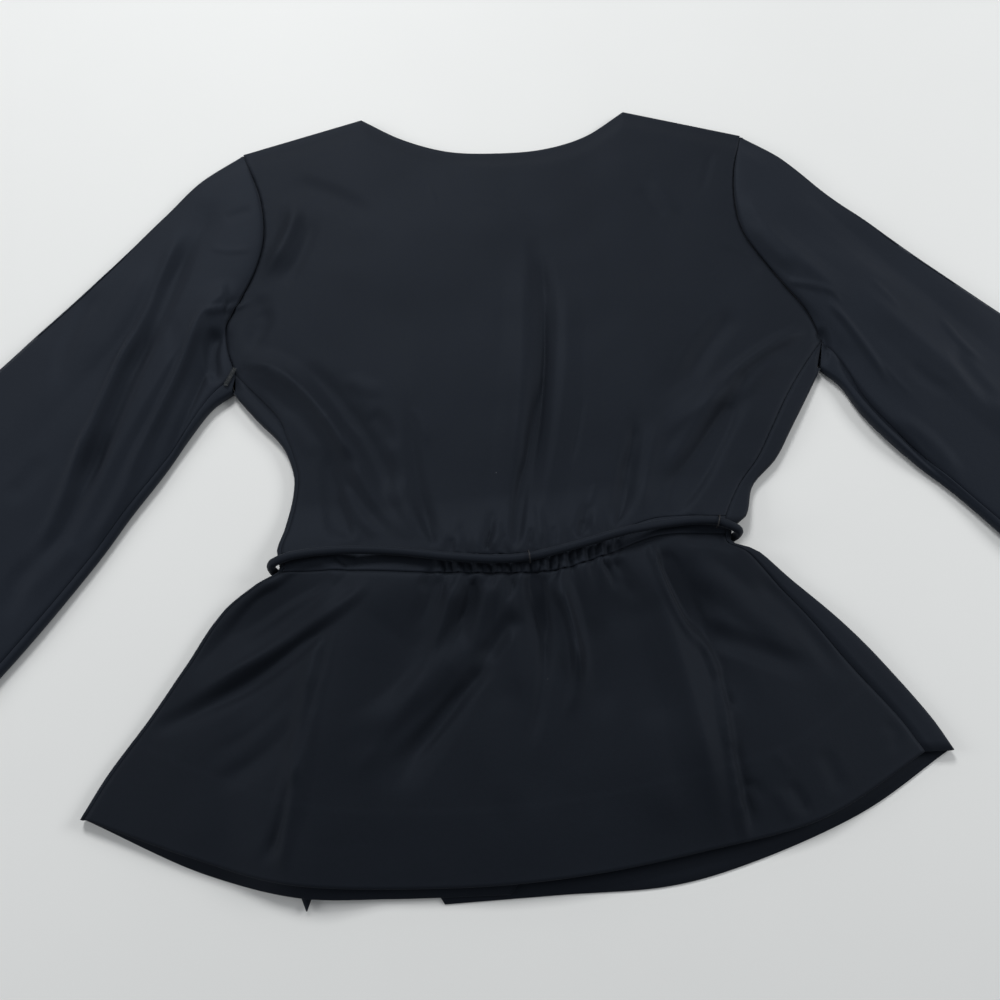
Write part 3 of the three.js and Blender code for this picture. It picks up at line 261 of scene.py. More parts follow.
# Folds of the upper cloth, each from one end past a middle point to the other. wide is half its
# width, high is up for a ridge and down for a trough, starts and ends are the shares of that height
# at its ends, and crisp is 0 for a soft fold and 1 for a creased one.
Fold = namedtuple("Fold", "ax ay mx my bx by wide high starts ends crisp", defaults=(0,))
LARGE_FOLDS = [
    # Back bodice
    Fold(36, 244, 32, 150, 6, 8, 11, -5, 0.3, 1.2), Fold(22, 240, 15, 140, -4, 20, 16, 3, 0.3, 1),
    Fold(52, 220, 44, 120, 18, 14, 14, 2.5, 0.3, 1), Fold(-190, 160, -134, 122, -78, 32, 17, 6, 0.6, 0.8),
    Fold(-128, 150, -98, 90, -70, 44, 18, -5, 0.3, 0.6),
    Fold(-125, 88, -121, 50, -115, 14, 10, -5, 0.2, 1), Fold(-66, 124, -62, 56, -49, 8, 8, -4, 0.1, 1.2),
    Fold(-84, 104, -76, 54, -62, 12, 12, 3, 0.2, 1), Fold(-12, 34, -13, 20, -14, 4, 6, -3, 0.1, 1),
    Fold(56, 36, 50, 22, 44, 8, 7, -3, 0.1, 1), Fold(94, 104, 84, 58, 71, 14, 9, -4.5, 0.1, 1.1),
    Fold(110, 96, 98, 56, 86, 20, 11, 3, 0.2, 1), Fold(178, 130, 140, 70, 104, 22, 16, -6, 0.4, 1),
    Fold(222, 150, 164, 116, 100, 72, 16, 5, 0.8, 0.3),
    Fold(176, 188, 140, 138, 104, 100, 17, -3, 0.3, 0.4),
    Fold(-154, 300, -152, 262, -176, 222, 13, 4, 0.3, 0.7),
    Fold(-170, 214, -176, 190, -176, 160, 11, -4, 0.3, 0.5),
    # Back peplum
    Fold(12, -12, 16, -45, 16, -96, 11, -7, 1, 0), Fold(27, -16, 36, -55, 37, -110, 10, 5, 1, 0.1),
    Fold(-1, -18, -4, -60, 2, -110, 13, 4, 1, 0.1), Fold(-24, -14, -32, -38, -46, -64, 9, -5, 1, 0),
    Fold(-41, -16, -50, -50, -76, -100, 12, 4, 1, 0.1), Fold(-54, -10, -58, -30, -70, -54, 9, -4, 1, 0),
    Fold(66, -8, 72, -22, 82, -44, 8, -4, 1, 0), Fold(84, 0, 103, -84, 118, -200, 22, 8, 0.6, 0.7),
    Fold(104, 2, 124, -66, 146, -126, 17, -6, 0.9, 0.1),
    Fold(-156, -14, -184, -38, -216, -72, 13, -5, 0.6, 0.4),
    Fold(-110, -18, -152, -48, -224, -92, 13, 4, 0.6, 0.6),
    Fold(-124, -36, -172, -72, -232, -104, 13, -6, 0.4, 0.3),
    Fold(-133, -74, -160, -110, -208, -127, 15, -5, 0.5, 0.2),
    Fold(-130, -46, -140, -118, -154, -190, 11, 4, 0.5, 0.8),
    Fold(-35, -80, -60, -118, -88, -150, 15, -6, 0.4, 0.3),
    Fold(-58, -74, -84, -110, -112, -142, 14, 4, 0.4, 0.3),
    # Sleeves
    Fold(-192, 204, -224, 176, -300, 20, 18, 6, 0.7, 0.4),
    Fold(-204, 186, -208, 160, -232, 110, 12, -4, 0.8, 0.2),
    Fold(-212, 300, -246, 220, -352, 70, 20, -5, 0.4, 0.4),
    Fold(-420, 30, -470, -40, -530, -110, 24, 5, 0.3, 0.5),
    Fold(198, 282, 214, 232, 262, 176, 15, 4, 0.3, 0.8),
    Fold(236, 288, 300, 206, 384, 96, 20, -5, 0.3, 0.4),
    Fold(262, 196, 320, 120, 400, 24, 20, 4, 0.6, 0.4),
    Fold(430, 40, 500, -36, 570, -104, 24, 5, 0.3, 0.5),
]
FINE_FOLDS = [
    # Back bodice
    Fold(34, 204, 32, 134, 20, 73, 3.5, -2, 0.6, 1.1, 1),
    Fold(30, 134, 14, 66, 5, 5, 4, -2.6, 0.8, 1.3, 1), Fold(14, 73, 6, 33, 3, -3, 6, -3, 0.6, 1.4, 0.4),
    Fold(32, 251, 33, 222, 33, 193, 9, -0.9, 0.4, 1, 0),
    Fold(-19, 285, 11, 277, 38, 253, 5, 0.4, 0.5, 0.8, 0.6),
    Fold(-157, 311, -120, 295, -85, 268, 13, -1.3, 0.7, 0.8, 0),
    Fold(-144, 287, -155, 259, -168, 227, 8, 1.5, 0.7, 1, 0.3),
    Fold(-134, 279, -142, 247, -159, 215, 9, -1.3, 0.5, 0.8, 0.2),
    Fold(-174, 200, -169, 189, -177, 176, 8, -1.4, 0.8, 0.8, 0),
    Fold(-187, 156, -173, 152, -162, 150, 3, 1.2, 0.8, 1, 1),
    Fold(-162, 150, -140, 128, -121, 98, 4, 1.5, 0.8, 1, 1),
    Fold(-143, 155, -121, 125, -103, 92, 11, -2.4, 0.4, 1, 0.2),
    Fold(-108, 141, -100, 132, -79, 126, 9, 1.2, 0.6, 0.5, 0),
    Fold(-95, 111, -85, 99, -80, 79, 9, -1.5, 0.6, 0.8, 0),
    Fold(-65, 181, -60, 157, -53, 138, 3, 0.4, 0.4, 0.8, 1),
    Fold(-66, 114, -57, 99, -54, 81, 4, 0.6, 0.5, 0.8, 0.6),
    Fold(-47, 302, -42, 290, -42, 277, 2.5, 0.3, 0.6, 0.6, 0.6),
    Fold(-129, 114, -118, 95, -108, 74, 4.5, 1.7, 0.9, 1, 0.9),
    Fold(-109, 75, -94, 47, -67, 11, 8, 1.6, 1, 0.7, 0.5),
    Fold(-114, 118, -96, 84, -76, 46, 14, -2.6, 0.6, 0.9, 0),
    Fold(-63, 42, -57, 23, -50, 5, 3, -3, 0.3, 1.1, 1),
    Fold(-69, 45, -62, 26, -55, 8, 3, 1, 0.6, 0.8, 0.6),
    Fold(-120, 70, -117, 44, -107, 13, 6, -3.6, 0.2, 1.2, 0.4),
    Fold(-114, 59, -104, 37, -87, 15, 7, 1.6, 0.5, 0.8, 0.2),
    Fold(-153, 120, -141, 97, -130, 79, 10, 1, 0.6, 0.5, 0),
    Fold(-179, 135, -165, 117, -154, 95, 4, -1.5, 0.7, 0.7, 0.4),
    Fold(-14, 18, -16, 10, -18, 1, 3, -2.6, 0.3, 1.1, 1),
    Fold(-8, 26, -11, 14, -14, 1, 4, 1.2, 0.4, 1, 0.2),
    Fold(-33, 27, -40, 20, -46, 10, 6, 0.9, 0.5, 0.6, 0),
    Fold(-40, 13, -40, 8, -39, 2, 3, -1.2, 0.4, 1, 0.5),
    Fold(-5, 14, -7, 7, -8, 0, 2.5, -1.2, 0.4, 1, 0.8),
    Fold(58, 117, 51, 85, 43, 60, 3.5, -1.4, 0.3, 0.4, 0.8),
    Fold(95, 91, 88, 69, 81, 50, 7, -1.5, 0.3, 0.9, 0.2),
    Fold(81, 51, 78, 34, 70, 12, 3.5, -3, 0.5, 1.2, 1),
    Fold(159, 117, 135, 83, 96, 43, 11, 1.8, 0.8, 0.6, 0.1),
    Fold(164, 105, 143, 71, 106, 19, 10, -5, 0.5, 1.3, 0.2),
    Fold(161, 64, 135, 37, 119, 18, 9, 1.3, 0.5, 0.8, 0.1),
    Fold(50, 22, 48, 14, 45, 7, 4, -2.6, 0.4, 1.1, 0.5),
    Fold(19, 37, 20, 21, 22, 4, 4, 1.1, 0.5, 0.8, 0.2), Fold(14, 18, 13, 10, 12, 3, 3, -1.6, 0.5, 1, 0.5),
    Fold(60, 48, 57, 38, 52, 25, 3, 0.6, 0.6, 0.6, 1),
    Fold(29, 18, 29, 10, 29, 2, 3.5, -1.2, 0.4, 1, 0.5),
    Fold(178, 322, 171, 301, 163, 280, 4, -0.8, 0.8, 0.4, 0.6),
    Fold(116, 292, 126, 274, 134, 259, 7, -1, 0.5, 0.5, 0.1),
    Fold(126, 295, 137, 279, 144, 262, 6, 0.7, 0.6, 0.6, 0.3),
    Fold(181, 175, 151, 151, 131, 113, 12, -2, 0.4, 0.8, 0),
    Fold(169, 181, 145, 153, 123, 122, 10, 1.1, 0.5, 0.6, 0),
    Fold(227, 158, 190, 142, 147, 109, 7, 2.3, 1, 0.6, 0.5),
    Fold(219, 146, 185, 130, 165, 109, 8, -2.4, 0.7, 0.9, 0.3),
    Fold(233, 158, 235, 146, 229, 127, 5, -2.5, 0.7, 0.8, 0.3),
    Fold(170, 232, 187, 220, 199, 203, 7, -1, 0.5, 0.7, 0.2),
    # Back peplum
    Fold(-120, 5, -114, 0, -108, -5, 2.5, -2, 1, 1, 1),
    Fold(-120, -4, -153, -19, -191, -45, 12, -6.5, 0.8, 0.3, 0.1),
    Fold(-147, -5, -174, -21, -202, -47, 7, 2, 0.7, 0.6, 0.2),
    Fold(-95, -13, -134, -43, -210, -81, 7, 3, 0.5, 0.7, 0.5),
    Fold(-118, -36, -156, -66, -204, -91, 8, -3.2, 0.6, 0.8, 0.4),
    Fold(-175, -76, -208, -91, -240, -105, 8, -2, 0.9, 0.4, 0.2),
    Fold(-132, -79, -163, -110, -202, -129, 9, 2.4, 0.4, 0.6, 0.4),
    Fold(-132, -96, -159, -121, -198, -142, 9, -1.8, 0.4, 0.5, 0.2),
    Fold(-121, -40, -133, -92, -144, -135, 5, -2.2, 0.8, 0.8, 0.6),
    Fold(-144, -131, -151, -162, -163, -188, 6, -2.4, 0.8, 1, 0.4),
    Fold(-117, -40, -129, -85, -137, -117, 5, 1.1, 0.7, 0.8, 0.8),
    Fold(-139, -117, -146, -155, -151, -197, 4, 1.2, 0.8, 1, 1),
    Fold(-18, -69, -46, -99, -84, -138, 9, -5.5, 0.5, 0.7, 0.5),
    Fold(-31, -55, -68, -88, -115, -119, 14, 3.4, 0.7, 0.4, 0),
    Fold(-25, -14, -32, -32, -41, -50, 3.2, -4, 1, 0.2, 0.9),
    Fold(-45, 2, -47, -18, -54, -42, 3.2, -3, 1, 0.2, 0.9),
    Fold(-53, -6, -58, -16, -61, -22, 5, -2.4, 1, 0.4, 0.3),
    Fold(-38, -13, -45, -38, -62, -70, 6, 1.9, 0.8, 0.3, 0.2),
    Fold(-15, -18, -21, -40, -34, -72, 8, 2.2, 0.7, 0.5, 0.1),
    Fold(2, -41, -12, -56, -28, -76, 9, -3, 0.5, 0.8, 0.2),
    Fold(-1, -15, -2, -25, -7, -35, 3, -2, 1, 0.2, 0.6),
    Fold(-11, -12, -13, -18, -16, -23, 3, -1.6, 1, 0.2, 0.6),
    Fold(14, -10, 16, -35, 19, -61, 6.5, -7, 1, 0.4, 0.5),
    Fold(19, -41, 13, -89, 1, -130, 6, -2, 0.8, 0.4, 0.2),
    Fold(22, -18, 35, -52, 35, -90, 5, 2.8, 0.7, 1, 0.6),
    Fold(37, -59, 36, -86, 26, -113, 6, 2, 1, 0.4, 0.2),
    Fold(31, -8, 29, -15, 26, -21, 2.6, -2.2, 1, 0.2, 0.8),
    Fold(47, -43, 52, -79, 47, -118, 14, -2.5, 0.4, 0.4, 0),
    Fold(57, -5, 64, -20, 67, -31, 3, -2.6, 1, 0.2, 0.8),
    Fold(46, -2, 48, -6, 49, -12, 2.2, -1.6, 1, 0.2, 1),
    Fold(71, 4, 71, -2, 71, -9, 3.5, -2, 1, 0.3, 0.6),
    Fold(39, -7, 39, -11, 38, -17, 2.5, -1.5, 1, 0.2, 0.8),
    Fold(62, -4, 67, -15, 78, -30, 4, 1.2, 0.8, 0.3, 0.3),
    Fold(91, 7, 100, -34, 120, -78, 5, 3, 1.2, 1, 0.8),
    Fold(108, -51, 125, -86, 124, -138, 5, 2.8, 1, 0.9, 0.8),
    Fold(126, -107, 128, -155, 131, -196, 5, 2.6, 0.9, 1.2, 1),
    Fold(98, -2, 108, -34, 120, -62, 10, -6, 1, 0.5, 0.3),
    Fold(110, 4, 137, 2, 152, -8, 8, -3, 0.8, 0.4, 0.1),
    Fold(125, -84, 129, -100, 133, -114, 6, -3, 0.4, 0.7, 0.3),
    Fold(129, -127, 132, -157, 136, -189, 7, -2, 0.6, 1, 0.3),
    Fold(116, -14, 149, -43, 183, -80, 13, 3, 0.5, 0.5, 0),
    Fold(115, -55, 152, -74, 191, -92, 11, -3.2, 0.7, 0.4, 0),
    Fold(160, -23, 187, -60, 208, -99, 9, -2, 0.8, 0.4, 0.1),
    Fold(133, -164, 138, -157, 146, -171, 4, -1.3, 0.6, 0.7, 0.5),
    Fold(159, -156, 167, -168, 169, -179, 4.5, -1.6, 0.4, 0.9, 0.4),
    Fold(149, -159, 157, -171, 159, -181, 4, 1.1, 0.5, 0.8, 0.4),
    Fold(155, -137, 159, -145, 165, -153, 4, 0.6, 0.5, 0.6, 0.6),
    Fold(183, -138, 190, -153, 192, -168, 8, -1, 0.5, 0.7, 0),
    Fold(225, -125, 235, -133, 227, -144, 6, -1, 0.5, 0.6, 0.2),
    Fold(-7, -92, -12, -129, -11, -173, 16, 1.6, 0.3, 0.5, 0),
    Fold(81, -105, 85, -143, 87, -186, 20, 1.8, 0.3, 0.6, 0),
    # Sleeves
    Fold(-233, 276, -253, 208, -277, 141, 7, 2, 0.6, 1, 0.6),
    Fold(-225, 270, -242, 204, -266, 143, 11, -3, 0.6, 1, 0.2),
    Fold(-260, 190, -281, 129, -301, 67, 6.5, 2.2, 1, 1, 0.6),
    Fold(-249, 197, -273, 119, -294, 58, 12, -3.2, 1, 1, 0.1),
    Fold(-286, 119, -303, 58, -319, 16, 8, 2, 1, 0.6, 0.5),
    Fold(-276, 114, -297, 51, -320, 7, 11, -2.8, 1, 0.6, 0.2),
    Fold(-211, 203, -231, 141, -264, 67, 6, 3, 1, 1, 0.7),
    Fold(-246, 107, -267, 54, -286, 21, 8, 2, 1, 0.5, 0.3),
    Fold(-209, 160, -222, 121, -242, 68, 5, -2.2, 1, 0.6, 0.6),
    Fold(-203, 183, -208, 163, -200, 139, 7, -4.5, 0.8, 0.8, 0.3),
    Fold(-180, 209, -199, 199, -214, 195, 4, 1.6, 0.7, 1, 0.7),
    Fold(-290, 224, -308, 187, -315, 131, 10, -1.7, 0.5, 0.5, 0.1),
    Fold(-249, 246, -274, 198, -294, 150, 13, 1.4, 0.6, 0.5, 0),
    Fold(-212, 254, -197, 249, -178, 251, 3.5, 0.9, 0.5, 0.8, 0.5),
    Fold(-203, 277, -191, 282, -179, 286, 6, -1, 0.5, 0.6, 0.1),
    Fold(-318, 92, -329, 71, -343, 58, 11, -1.3, 0.5, 0.5, 0),
    Fold(-315, 15, -330, -1, -336, -29, 11, -1.8, 0.6, 0.5, 0.1),
    Fold(-293, 28, -308, 11, -327, -14, 12, 1.5, 0.5, 0.4, 0),
    Fold(-242, 199, -231, 172, -235, 152, 9, -0.9, 0.5, 0.5, 0),
    Fold(215, 198, 235, 190, 258, 181, 4, 1.3, 0.9, 0.4, 0.8),
    Fold(241, 180, 260, 147, 278, 104, 4.5, 2.2, 0.8, 0.5, 0.9),
    Fold(240, 187, 248, 182, 253, 174, 2.5, 0.7, 0.8, 0.5, 1),
    Fold(271, 130, 281, 112, 290, 99, 3, 0.7, 0.5, 0.5, 1),
    Fold(276, 195, 286, 182, 295, 165, 4, 0.9, 0.6, 0.4, 0.5),
    Fold(323, 163, 333, 141, 348, 120, 5, 1.5, 0.6, 0.7, 0.7),
    Fold(325, 139, 335, 109, 349, 87, 9, -2.2, 0.5, 0.8, 0.2),
    Fold(293, 125, 303, 109, 320, 98, 8, -1, 0.5, 0.5, 0.1),
    Fold(242, 140, 258, 100, 287, 56, 3.2, -2, 0.8, 1, 0.7),
    Fold(269, 84, 302, 37, 333, -1, 3.2, -2.2, 1, 1, 0.7),
    Fold(270, 88, 296, 65, 314, 32, 8, 1.3, 0.6, 0.6, 0.2),
    Fold(234, 158, 236, 144, 231, 132, 6, -4, 0.8, 0.8, 0.3),
    Fold(212, 250, 274, 227, 329, 189, 24, -2.2, 0.6, 0.5, 0),
    Fold(197, 253, 210, 226, 225, 205, 9, 1.2, 0.6, 0.8, 0.1),
    Fold(250, 151, 267, 113, 295, 77, 12, -1.2, 0.6, 0.4, 0),
    Fold(-391, 85, -429, 22, -473, -29, 14, -2, 0.6, 0.5, 0.2),
    Fold(-359, -10, -407, -40, -436, -95, 12, 1.8, 0.6, 0.5, 0.2),
    Fold(-416, 117, -461, 53, -512, 7, 12, 1.6, 0.5, 0.5, 0.2),
    Fold(381, 91, 430, 35, 465, -32, 14, -2, 0.6, 0.5, 0.2),
    Fold(380, 30, 419, -30, 455, -86, 12, 1.8, 0.6, 0.5, 0.2),
]

# The tie's route in metres: sewn under the outer front's edge, up over the left side, across the
# back, down over the right side and under the fronts to the hem. A row without a height lies on
# the cloth.
TIE_ROUTE = [
    Route(-0.128, -0.003, 0.0033), Route(-0.149, -0.004, 0.0033), Route(-0.156, -0.0038, 0.0039),
    Route(-0.1607, -0.001, 0.0094), Route(-0.1598, 0.0012, 0.0156), Route(-0.1546, 0.0028, 0.0189),
    Route(-0.146, 0.0053, None), Route(-0.117, 0.0073, None), Route(-0.08, 0.0046, None),
    Route(-0.04, -0.0022, None), Route(-0.01, -0.0056, None), Route(0.0105, -0.005, None),
    Route(0.046, 0.0018, None), Route(0.076, 0.0078, None), Route(0.105, 0.0127, None),
    Route(0.124, 0.0136, None), Route(0.1385, 0.012, None), Route(0.147, 0.0082, None),
    Route(0.1519, 0.0059, 0.0161), Route(0.1526, 0.0048, 0.0098), Route(0.1484, 0.0036, 0.0039),
    Route(0.138, 0.003, 0.0033), Route(0.1, 0.002, 0.0033), Route(0.04, -0.004, 0.0033),
    Route(-0.03, -0.006, 0.0033), Route(-0.08, -0.01, 0.0033), Route(-0.108, -0.026, 0.0033),
    Route(-0.122, -0.06, 0.0033), Route(-0.13, -0.1, 0.0033), Route(-0.139, -0.145, 0.0033),
    Route(-0.141, -0.178, 0.0033), Route(-0.138, -0.2045, 0.0033),
]
ROUTE_MM = [Route(*(None if v is None else v / MM for v in row)) for row in TIE_ROUTE]

# The frame's place, from the node of the tie's flat point
TIP_LOW, TIP_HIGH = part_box("tie_tip")
SHIFT = np.array([
    (TIP_LOW.x + TIP_HIGH.x) / 2 / MM - ROUTE_MM[-1].x,
    TIP_HIGH.y / MM - ROUTE_MM[-1].y + SEAM_GAP,
    TIP_LOW.z / MM - 1,
])


# ---------------------------------------------------------------- curves and tables

def mix(a, b, t):
    return a + (b - a) * t


def bump(t):
    return np.where(np.abs(t) < 1, (1 - t * t) ** 2, 0.0)


def dome(t):
    return np.sin(np.pi * np.clip(t, 0, 1)) ** 0.7


def smoothstep(start, stop, value):
    t = np.clip((value - start) / (stop - start), 0, 1)
    return t * t * (3 - 2 * t)


def through(at, got, value):
    """A smooth curve through the numbers got at the places at."""
    at, got, value = (np.asarray(v, float) for v in (at, got, value))
    slope = np.empty_like(got)
    slope[1:-1] = (got[2:] - got[:-2]) / (at[2:] - at[:-2])
    slope[0] = (got[1] - got[0]) / (at[1] - at[0])
    slope[-1] = (got[-1] - got[-2]) / (at[-1] - at[-2])
    k = np.clip(np.searchsorted(at, value, side="left") - 1, 0, len(at) - 2)
    span = at[k + 1] - at[k]
    t = np.clip((value - at[k]) / span, 0, 1)
    rise = got[k + 1] - got[k]
    bend = (1 - t) * (slope[k] * span - rise) - t * (slope[k + 1] * span - rise)
    return got[k] + rise * t + t * (1 - t) * bend


def look_up(rows, along, column, value):
    """A column of a table at some values of another."""
    rows = sorted(rows, key=lambda row: getattr(row, along))
    return through([getattr(r, along) for r in rows], [getattr(r, column) for r in rows], value)


def waist_at(x):
    return look_up(WAIST, "x", "y", x)


class Curve:
    """A smooth curve through points, read at shares of its length."""

    def __init__(self, points, steps=48):
        points = np.array(points, float)
        ends = [2 * points[0] - points[1], 2 * points[-1] - points[-2]]
        p = np.vstack([ends[0], points, ends[1]])
        gap = np.sum(np.diff(p, axis=0) ** 2, axis=1) ** 0.25
        gap[gap < 1e-4] = 1
        samples = [points[:1]]
        t = (np.arange(steps) + 1)[:, None] / steps
        for i in range(len(points) - 1):
            a, b, c, d = p[i:i + 4]
            da, db, dc = gap[i:i + 3]
            out = ((b - a) / da - (c - a) / (da + db) + (c - b) / db) * db
            into = ((c - b) / db - (d - b) / (db + dc) + (d - c) / dc) * db
            flex = -3 * b + 3 * c - 2 * out - into
            twist = 2 * b - 2 * c + out + into
            samples.append(b + out * t + flex * t ** 2 + twist * t ** 3)
        self.points = np.vstack(samples)
        self.steps = steps
        self.along = np.concatenate([[0], np.cumsum(np.linalg.norm(np.diff(self.points, axis=0), axis=1))])
        self.length = self.along[-1]

    def __call__(self, share):
        at = np.clip(np.asarray(share, float), 0, 1) * self.length
        return np.stack([np.interp(at, self.along, axis) for axis in self.points.T], axis=-1)

    def direction(self, row):
        """The way it runs at one of its own points."""
        k = row * self.steps
        step = self.points[k + 1] - self.points[k - 1]
        return step / np.linalg.norm(step)


def curve_of(rows):
    return Curve([(row.x, row.y) for row in rows])


def patch(bottom, top, left, right, us, vs):
    """Points of a patch between four edges; bottom and top run from left to right."""
    across = mix(bottom(us)[None], top(us)[None], vs[:, None, None])
    up = mix(left(vs)[:, None], right(vs)[:, None], us[None, :, None])
    ends = np.array([0.0, 1.0])
    low, high = bottom(ends), top(ends)
    flat = mix(
        mix(low[0], low[1], us[None, :, None]),
        mix(high[0], high[1], us[None, :, None]),
        vs[:, None, None],
    )
    return across + up - flat


def with_gap(grid, gap):
    """Draws the two ends of each row of a grid in by a gap."""
    grid = grid.copy()
    for end, beside in ((0, 1), (-1, -2)):
        step = grid[:, beside] - grid[:, end]
        grid[:, end] += step * gap / np.linalg.norm(step, axis=1, keepdims=True)
    return grid


# ---------------------------------------------------------------- relief of the cloth

AREA_LOW = np.array([-612, -232])
AREA_HIGH = np.array([642, 384])
AREA_X = np.arange(AREA_LOW[0], AREA_HIGH[0] + 1)
AREA_Y = np.arange(AREA_LOW[1], AREA_HIGH[1] + 1)


def near_line(points, x, y):
    """Distance from a line of points, and the share of its count of steps at the nearest place."""
    far = np.full(np.shape(x), np.inf)
    share = np.zeros(np.shape(x))
    steps = len(points) - 1
    for i in range(steps):
        a, b = points[i], points[i + 1]
        step = b - a
        s = np.clip(((x - a[0]) * step[0] + (y - a[1]) * step[1]) / max(step @ step, 1e-9), 0, 1)
        here = np.hypot(x - a[0] - s * step[0], y - a[1] - s * step[1])
        closer = here < far
        far = np.where(closer, here, far)
        share = np.where(closer, (i + s) / steps, share)
    return far, share


def fold_line(fold):
    """A fold's line: bent through its middle point."""
    a, m, b = (np.array(p, float) for p in ((fold.ax, fold.ay), (fold.mx, fold.my), (fold.bx, fold.by)))
    control = 2 * m - (a + b) / 2
    t = np.linspace(0, 1, 11)[:, None]
    return (1 - t) ** 2 * a + 2 * t * (1 - t) * control + t ** 2 * b


def relief_of(folds, tapered):
    """The heights of some folds over the whole area, one millimetre apart."""
    relief = np.zeros((len(AREA_Y), len(AREA_X)))
    for fold in folds:
        line = fold_line(fold)
        low = np.floor(line.min(0) - fold.wide).astype(int) - AREA_LOW
        high = np.ceil(line.max(0) + fold.wide).astype(int) - AREA_LOW + 1
        rows, columns = slice(low[1], high[1]), slice(low[0], high[0])
        x, y = np.meshgrid(AREA_X[columns], AREA_Y[rows])
        far, share = near_line(line, x, y)
        q = far / fold.wide
        shape = mix(bump(q), np.clip(1 - q, 0, 1) ** 1.6, fold.crisp)
        height = fold.high * mix(fold.starts, fold.ends, share) * shape
        if tapered:
            height = height * smoothstep(0, 0.25, share) * smoothstep(0, 0.3, 1 - share)
        relief[rows, columns] += height
    return relief


def unevenness(seed, pitch, height):
    """A soft random relief with hills about pitch millimetres apart."""
    chance = np.random.default_rng(seed)
    rows, columns = (int(n / pitch) + 4 for n in (len(AREA_Y), len(AREA_X)))
    coarse = chance.normal(size=(rows, columns))

    def soften(values, count):
        at = np.arange(count) / pitch + 1
        k = at.astype(int)
        t = (at - k)[:, None]
        a, b, c, d = (values[k + i] for i in (-1, 0, 1, 2))
        return ((1 - t) ** 3 * a + (3 * t ** 3 - 6 * t ** 2 + 4) * b
                + (-3 * t ** 3 + 3 * t ** 2 + 3 * t + 1) * c + t ** 3 * d) / 6

    return height * 2 * soften(soften(coarse, len(AREA_Y)).T, len(AREA_X)).T


def sample(raster, x, y):
    """A raster of the area at some places, between its four nearest heights."""
    fx = np.clip(np.asarray(x, float) - AREA_LOW[0], 0, len(AREA_X) - 1.001)
    fy = np.clip(np.asarray(y, float) - AREA_LOW[1], 0, len(AREA_Y) - 1.001)
    i, j = fx.astype(int), fy.astype(int)
    fx, fy = fx - i, fy - j
    low = mix(raster[j, i], raster[j, i + 1], fx)
    high = mix(raster[j + 1, i], raster[j + 1, i + 1], fx)
    return mix(low, high, fy)


def tie_lift(x, y):
    """The cloth above the tie's hidden run is lifted over it."""
    hidden = np.array([(r.x, r.y) for r in ROUTE_MM[LIFTED_FROM:]])
    far, _ = near_line(hidden, x, y)
    sewn = np.hypot(np.maximum(0, np.maximum(SEWN_FROM - x, x - SEWN_TO)), y - SEWN_AT)
    return TIE_LIFT * (1 - smoothstep(LIFT_CORE, LIFT_REACH, np.minimum(far, sewn)))


def from_casing(x, y):
    """Distance of a place from the casing's middle line."""
    return np.abs(y - waist_at(x) - CASING_HEIGHT / 2)


def gather_share(x):
    """Place along the gathered stretch, from 0 to 1."""
    return (x - GATHER_FROM) / (GATHER_TO - GATHER_FROM)


def gather_zone(x, fade):
    """1 on the gathered stretch and 0 beside it."""
    entered = smoothstep(GATHER_FROM - fade, GATHER_FROM + fade, x)
    return entered * (1 - smoothstep(GATHER_TO - fade, GATHER_TO + fade, x))


def soft_gathers(x, y):
    """Soft gathers of the bodice and peplum, which die out away from the casing."""
    wave = np.cos(2 * np.pi * SOFT_RIPPLES * gather_share(x))
    reach = 1 - smoothstep(4, SOFT_RIPPLE_REACH, from_casing(x, y))
    return SOFT_RIPPLE_HEIGHT * wave * gather_zone(x, 8) * reach


LARGE_RELIEF = relief_of(LARGE_FOLDS, False)


def upper_cloth(x, y, relief_, loft, extra=0.0):
    """Middle of the upper cloth over some relief. Its troughs flatten out near the layers below."""
    free = loft + sample(relief_, x, y) + soft_gathers(x, y) + extra
    held = 0.5 * (free + np.sqrt(free * free + LEAST_LOFT ** 2 * 4))
    return TOP_LAYER + tie_lift(x, y) + held


def tie_over(x, y):
    """Height of the tie's middle where it lies on the cloth."""
    dx, dy = np.meshgrid([-10, -5, 0, 5, 10], [-3, 0, 3])
    highest = float(np.max(upper_cloth(x + dx, y + dy, LARGE_RELIEF, EDGE_LOFT + 1)))
    return highest + WALL / 2 + TIE_CLEARANCE + TIE_RADIUS


TIE_CURVE = Curve([(r.x, r.y, tie_over(r.x, r.y) if r.z is None else r.z) for r in ROUTE_MM])


def fine_relief(depth):
    """Finer folds, unevenness and gathers. Nothing rises where the tie lies on the cloth."""
    x, y = np.meshgrid(AREA_X, AREA_Y)
    relief = relief_of(FINE_FOLDS, True) * depth * FINE_STRENGTH
    relief += unevenness(3, 46, 0.8) + unevenness(8, 17, 0.2)
    relief += fine_gathers(x, y) * depth
    on_top = np.array([(r.x, r.y) for r in ROUTE_MM[4:LIFTED_FROM - 1]])
    far, _ = near_line(on_top, x, y)
    under_tie = 1 - smoothstep(6, 15, far)
    return relief - np.maximum(relief, 0) * under_tie


def fine_gathers(x, y):
    """Small gathers on both sides of the casing, uneven in spacing and in length."""
    s = gather_share(x)
    phase = FINE_GATHERS * s + 0.35 * np.sin(2 * np.pi * 2.3 * s) + 0.22 * np.sin(2 * np.pi * 5.1 * s + 1)
    reach = 17 + 9 * np.sin(2 * np.pi * 3.7 * s + 0.6) + 5 * np.sin(2 * np.pi * 8.3 * s)
    fade = 1 - smoothstep(5, 5 + np.maximum(reach, 6), from_casing(x, y))
    return FINE_GATHER_HEIGHT * np.cos(2 * np.pi * phase) * gather_zone(x, 6) * fade


